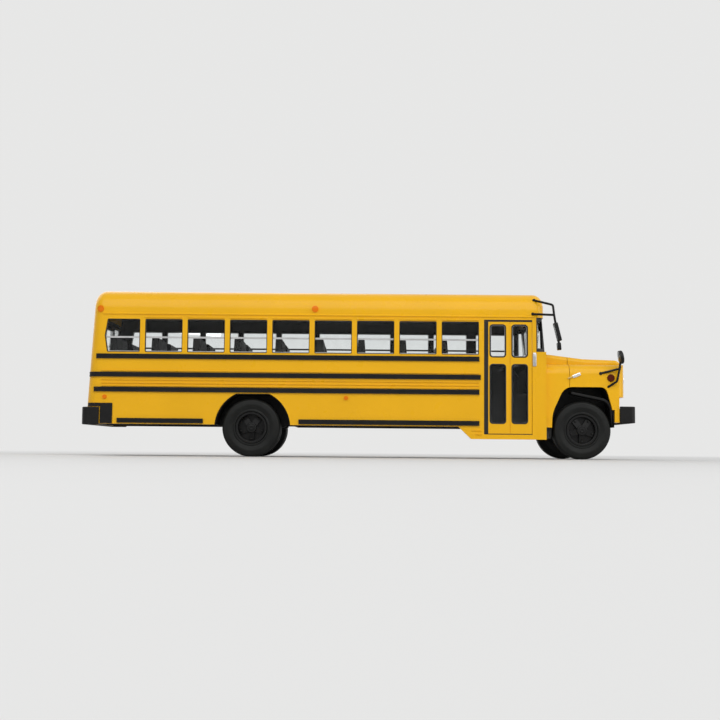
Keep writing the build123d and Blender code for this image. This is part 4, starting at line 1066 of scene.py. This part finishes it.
@dataclass
class Mirrors(Assembly):
    """Silvered faces of the four mirrors, looking back along the bus."""

    head_ahead: float = 3.95 * MM
    head_drop: float = 4.55 * MM
    head: Pressing = Pressing(mm(3.7, 7.3), *mm(0.6, 0.2, 0.05, 0.1, 0.03))
    head_slant: float = math.radians(14.0)
    spot_ahead: float = 4.6 * MM
    spot_rise: float = 3.45 * MM
    spot: Pressing = Pressing(mm(2.7, 2.6), *mm(0.6, 0.2, 0.05, 0.1, 0.03))
    spot_slant: float = math.radians(5.0)
    reach: float = 32.85 * MM
    half_thickness: float = 0.675 * MM
    gap: float = 0.03 * MM
    disc_radius: float = 2.85 * MM
    disc: Turning = Turning(40, *mm(2.45, 0.1, 0.04), (mm(0.5, 0.14), mm(0.5, 0.08), mm(0.5, 0.04)))
    disc_half: float = 0.75 * MM
    disc_slant: float = math.radians(10.0)
    disc_setback: float = 1.155 * MM
    disc_drop: float = 2.858 * MM

    def build(self) -> None:
        """Makes and dresses the mirror faces."""
        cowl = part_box("side_wall_right")[1].x
        sash_low, sash_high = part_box("window_frames_right")
        heads = (
            ("head", self.head, self.head_slant, self.head_ahead, sash_high.z - self.head_drop),
            ("spot", self.spot, self.spot_slant, self.spot_ahead, sash_low.z + self.spot_rise),
        )
        standoff = self.half_thickness + self.gap
        for side in Side:
            for kind, pressing, slant, ahead, z in heads:
                face = pressing.build(f"mirror_{kind}_{side.word}")
                self.hang(face, standoff, slant, (cowl + ahead, side.value * self.reach, z))
                dress(face, Finish.MIRROR)
            self.build_disc(side)

    def build_disc(self, side: Side) -> None:
        """Makes the domed face of one fender mirror.

        Args:
            side: the side of the bus.
        """
        low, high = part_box("fender_mirrors")
        face = self.disc.build(f"fender_mirror_face_{side.word}")
        y = high.y - self.disc_radius if side is Side.LEFT else low.y + self.disc_radius
        place = (high.x - self.disc_setback, y, high.z - self.disc_drop)
        self.hang(face, self.disc_half - self.gap, self.disc_slant, place)
        dress(face, Finish.MIRROR)

    @staticmethod
    def hang(face: Piece, standoff: float, slant: float, place: Point) -> None:
        """Turns a face to the rear and sets it on its mirror.

        Args:
            face: the face, looking along -Y.
            standoff: its distance from the middle of the mirror.
            slant: the mirror's lean in radians.
            place: the middle of the mirror.
        """
        moved(face, ORIGIN, (0.0, 0.0, -QUARTER_TURN))
        moved(face, (-standoff, 0.0, 0.0))
        moved(face, ORIGIN, (0.0, -slant, 0.0))
        moved(face, place)


@dataclass
class WheelTrim(Assembly):
    """Clamp nuts at the ends of the spokes and a cap on each hub; depths are front and rear."""

    spokes: int = 5
    nut_circle: float = 4.75 * MM
    nut: Turning = Turning(6, *mm(0.46, 0.5, 0.03), (mm(0.12, 0.08), mm(0.06, 0.16)))
    nut_depths: Pair = mm(1.4, 3.05)
    cap: Turning = Turning(32, *mm(1.25, 0.12, 0.05), (mm(0.3, 0.12), mm(0.45, -0.06)))
    cap_depths: Pair = mm(0.3, 1.25)

    def build(self) -> None:
        """Makes and dresses the nuts and caps of the outer wheels."""
        nut, cap = self.nut.build("nut"), self.cap.build("cap")
        axles = ((Body.FRONT_AXLE, "front"), (Body.REAR_AXLE, "rear"))
        for (body, word), nut_depth, cap_depth in zip(axles, self.nut_depths, self.cap_depths):
            low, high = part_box(f"{word}_tyres")
            middle = (low + high) / 2
            for side in Side:
                face = low.y if side is Side.RIGHT else high.y
                turn = ORIGIN if side is Side.RIGHT else (0.0, 0.0, math.pi)
                places = [(cap, middle.x, cap_depth, middle.z)]
                for number in range(self.spokes):
                    angle = math.radians(number * 360.0 / self.spokes + 90.0)
                    x = middle.x + self.nut_circle * math.cos(angle)
                    places.append((nut, x, nut_depth, middle.z - self.nut_circle * math.sin(angle)))
                pieces = [
                    moved(copied(pattern, f"{pattern.name}_copy"), (x, face - side.value * depth, z), turn)
                    for pattern, x, depth, z in places
                ]
                trim = joined(pieces, f"{word}_wheel_nuts_{side.word}")
                dress(trim, Finish.RIM, body)
        for pattern in (nut, cap):
            bpy.data.objects.remove(pattern)


@dataclass
class HeadlampTrim(Assembly):
    """Bright rims round the headlamps and the reflectors behind their lenses."""

    spacing: float = 40.6 * MM
    rim_sides: int = 48
    radius: float = 2.3 * MM
    rim: float = 0.4 * MM
    rim_depth: float = 0.26 * MM
    rim_rounding: float = 0.1 * MM
    rim_sink: float = 0.06 * MM
    bowl: Turning = Turning(
        48, *mm(2.26, 0.6, 0.03), (mm(0.15, -0.12), mm(0.5, -0.2), mm(0.9, -0.1), mm(0.3, 0.3))
    )
    bowl_setback: float = 0.65 * MM

    def build(self) -> None:
        """Makes and dresses the rims and reflectors."""
        low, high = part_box("headlamps")
        z = (low.z + high.z) / 2
        for side in Side:
            y = side.value * self.spacing / 2
            rim = round_plate(f"headlamp_rim_{side.word}", self.radius + self.rim, self.rim_sides)
            thickened(hollowed(rim, self.rim), self.rim_depth, self.rim_rounding)
            bowl = self.bowl.build(f"headlamp_reflector_{side.word}")
            for piece, x in ((rim, high.x - self.rim_sink), (bowl, low.x - self.bowl_setback)):
                moved(piece, (x, y, z), (0.0, 0.0, QUARTER_TURN))
                dress(piece, Finish.CHROME)


@dataclass
class HoodLatches(Assembly):
    """Draw latches across the hood seam: a broad bright grip on a thin brass wire, one on each side."""

    slant: float = math.radians(22.0)
    grip: Pressing = Pressing(mm(3.7, 1.25), *mm(0.375, 0.3125, 0.05, 0.42, 0.1))
    wire: Pressing = Pressing(mm(3.6, 0.55), *mm(0.165, 0.1375, 0.05, 0.42, 0.1))
    inset: float = 0.35 * MM

    def build(self) -> None:
        """Makes and dresses the grips and wires, which stand for the plain latches."""
        low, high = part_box("hood_latches")
        grips = self.build_pair("hood_latch_grips", self.grip, high, 1)
        dress(grips, Finish.CHROME)
        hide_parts("hood_latches")
        wires = self.build_pair("hood_latch_wires", self.wire, low, -1)
        dress(wires, Finish.BRASS)

    def build_pair(self, name: str, pressing: Pressing, end: Vector, way: int) -> Piece:
        """Makes the same slanted plate on both sides.

        Args:
            name: the pair's name.
            pressing: the plate.
            end: the corner of the latches' box where the plate ends.
            way: 1 at the high corner, -1 at the low one.

        Returns:
            The pair as one piece.
        """
        length, height = pressing.size
        x = end.x - way * (length / 2 * math.cos(self.slant) + self.inset)
        z = end.z - way * (length / 2 * math.sin(self.slant) + height / 2)
        reach = abs(end.y) - pressing.depth / 2
        pattern = pressing.build(name)
        twin = copied(pattern, f"{name}_twin")
        for piece, side in zip((pattern, twin), Side):
            moved(piece, (x, side.value * reach, z), (0.0, -self.slant, 0.0))
        return joined([pattern, twin], name)


@dataclass
class WheelLiners(Assembly):
    """Splash liners in the front arches, bent down ahead of the tyres; points are from the axle."""

    rear_end: Pair = mm(-4.4, 15.9)
    bend: Pair = mm(12.0, 12.6)
    lower_end: Pair = mm(13.25, 1.5)
    bend_offset: float = 3.4 * MM
    bend_segments: int = 6
    width: float = 6.0 * MM
    thickness: float = 1.0 * MM
    rounding: float = 0.15 * MM

    def build(self) -> None:
        """Makes and dresses both liners."""
        tyre_low, tyre_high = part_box("front_tyres")
        axle = (tyre_low + tyre_high) / 2
        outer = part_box("front_wheel_houses")[1].y
        for side in Side:
            liner = self.build_sheet(f"front_wheel_liner_{side.word}")
            moved(liner, (axle.x, side.value * (outer - self.width / 2), axle.z))
            dress(liner, Finish.BASE)

    def build_sheet(self, name: str) -> Piece:
        """Makes one bent sheet about the axle.

        Args:
            name: the piece's name.

        Returns:
            The sheet.
        """
        (rear_x, rear_z), (bend_x, bend_z), (lower_x, lower_z) = self.rear_end, self.bend, self.lower_end
        step = (lower_x - bend_x, 0.0, lower_z - bend_z)
        bpy.ops.mesh.primitive_plane_add(size=1.0)
        piece = active_as(name)
        piece.scale = (bend_x - rear_x, self.width, 1.0)
        moved(piece, ((bend_x + rear_x) / 2, 0.0, bend_z))
        with editing(piece):
            pick(piece, Element.EDGE, self.across(rear_x))
            bpy.ops.transform.translate(value=(0.0, 0.0, rear_z - bend_z))
            pick(piece, Element.EDGE, self.across(bend_x))
            bpy.ops.mesh.extrude_region_move(TRANSFORM_OT_translate={"value": step})
            pick(piece, Element.EDGE, self.across(bend_x))
            bpy.ops.mesh.bevel(offset=self.bend_offset, segments=self.bend_segments, affect="EDGES")
        apply_modifier(piece, "SOLIDIFY", thickness=self.thickness, offset=0.0)
        return rounded(piece, self.rounding, 2)

    @staticmethod
    def across(x: float) -> Callable[[bmesh.types.BMEdge], bool]:
        """Returns a test for the edge across a sheet at one place along it."""
        return lambda edge: all(abs(vertex.co.x - x) < TINY for vertex in edge.verts)


@dataclass
class StopSign(Assembly):
    """The pale border of the blank stop sign."""

    sides: int = 8
    radius: float = 5.6 * MM
    front_setback: float = 7.5 * MM
    inset: float = 0.25 * MM
    band: float = 0.5 * MM
    depth: float = 0.1 * MM
    rounding: float = 0.02 * MM
    proud: float = 0.02 * MM

    def build(self) -> None:
        """Makes and dresses the border."""
        low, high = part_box("stop_arm")
        border = round_plate("stop_sign_border", self.radius - self.inset, self.sides)
        thickened(hollowed(border, self.band), self.depth, self.rounding)
        moved(border, (high.x - self.front_setback, high.y + self.proud, (low.z + high.z) / 2))
        dress(border, Finish.SILVER)


@dataclass(frozen=True)
class Softbox:
    """A rectangular lamp that looks at the model; its size is in metres and its power in watts."""

    name: str
    place: Point
    size: Pair
    power: float
    target: Point = (0.0, 0.0, 0.03)

    def hang(self) -> None:
        """Adds the lamp to the scene."""
        data = bpy.data.lights.new(self.name, "AREA")
        data.shape = "RECTANGLE"
        data.size, data.size_y = self.size
        data.energy = self.power
        aim(bpy.data.objects.new(self.name, data), Vector(self.place), Vector(self.target))


def aim(thing: Piece, place: Vector, target: Vector) -> None:
    """Adds a lamp or camera to the scene, looking at a point.

    Args:
        thing: the lamp or camera.
        place: where it stands.
        target: where it looks.
    """
    thing.location = place
    thing.rotation_euler = (target - place).to_track_quat("-Z", "Y").to_euler()
    bpy.context.collection.objects.link(thing)


@dataclass
class Studio:
    """Floor, backdrop, lamps and camera."""

    floor_reach: float = 6.0
    floor_colour: Colour = (0.66, 0.66, 0.655)
    floor_roughness: float = 0.8
    floor_grain: float = 40.0
    backdrop_colour: Colour = (0.80, 0.80, 0.795)
    melt: Pair = (0.15, 0.6)
    fill_colour: Colour = (0.86, 0.87, 0.88)
    fill_strength: float = 0.42
    camera_place: Point = mm(0.08, -508.25, 3.4)
    camera_target: Point = mm(0.08, -28.25, 41.1)
    frame_width: float = 304.0 * MM
    sensor: float = 36.0
    nearest: float = 0.01
    roll: float = 0.5
    lamps: tuple[Softbox, ...] = (
        Softbox("key_softbox", (0.12, -0.62, 0.62), (1.4, 0.8), 6.1),
        Softbox("front_fill", (0.75, -0.3, 0.25), (0.4, 0.4), 1.1),
        Softbox("rear_fill", (-0.5, 0.55, 0.5), (1.2, 0.8), 3.0),
    )

    def build(self) -> None:
        """Sets the stage, the lamps and the camera."""
        self.make_floor()
        self.make_world()
        for lamp in self.lamps:
            lamp.hang()
        self.make_camera()
        bpy.context.scene.view_settings.view_transform = "Standard"

    def make_floor(self) -> None:
        """Lays the pale floor, which the camera sees melt into the backdrop far from the model."""
        bpy.ops.mesh.primitive_plane_add(size=self.floor_reach)
        floor = active_as("studio_floor")
        sheet = NodeSheet(bpy.data.materials.new("studio_paper"))
        colour = sheet.shades(sheet.noise(self.floor_grain, 2.0), self.floor_colour, (0.99, 1.0))
        sheet.feed(sheet.shader, Base_Color=colour, Roughness=self.floor_roughness)
        distance = sheet.math("LENGTH", sheet.coordinates.outputs["Object"], kind="VectorMath")
        far = sheet.spread(distance, 0.0, 1.0, *self.melt)
        seen = sheet.add("LightPath").outputs["Is Camera Ray"]
        backdrop = sheet.add("Emission", Color=(*self.backdrop_colour, 1.0))
        sheet.show(backdrop, sheet.math("MULTIPLY", far, seen))
        floor.data.materials.append(sheet.owner)

    def make_world(self) -> None:
        """Fills the surroundings with pale light, and shows a pale backdrop behind the model."""
        world = bpy.data.worlds.new("studio_world")
        bpy.context.scene.world = world
        sheet = NodeSheet(world)
        sheet.feed(sheet.shader, Color=(*self.fill_colour, 1.0), Strength=self.fill_strength)
        rays = sheet.add("LightPath").outputs
        seen = sheet.math("MAXIMUM", rays["Is Camera Ray"], rays["Is Glossy Ray"])
        backdrop = sheet.add("Background", Color=(*self.backdrop_colour, 1.0), Strength=1.0)
        sheet.show(backdrop, sheet.math("MAXIMUM", seen, rays["Is Transmission Ray"]))

    def make_camera(self) -> None:
        """Sets the camera side on to the entrance side, low and slightly rolled."""
        place, target = Vector(self.camera_place), Vector(self.camera_target)
        data = bpy.data.cameras.new("camera")
        data.sensor_width = self.sensor
        data.lens = self.sensor * (target - place).length / self.frame_width
        data.clip_start = self.nearest
        camera = bpy.data.objects.new("camera", data)
        aim(camera, place, target)
        camera.rotation_euler.rotate_axis("Z", math.radians(self.roll))
        bpy.context.scene.camera = camera


def main() -> None:
    """Builds the looks in order."""
    logging.basicConfig(level=logging.INFO, format="%(message)s")
    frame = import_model()
    sides = (EntranceTrim(), SideWindows(), StopSign(), Mirrors())
    ends = (RearTrim(), HeadlampTrim(), HoodLatches())
    for assembly in (Castings(frame["nodes"]), *sides, *ends, WheelTrim(), WheelLiners()):
        assembly.build()
    Studio().build()


if __name__ == "__main__":
    main()
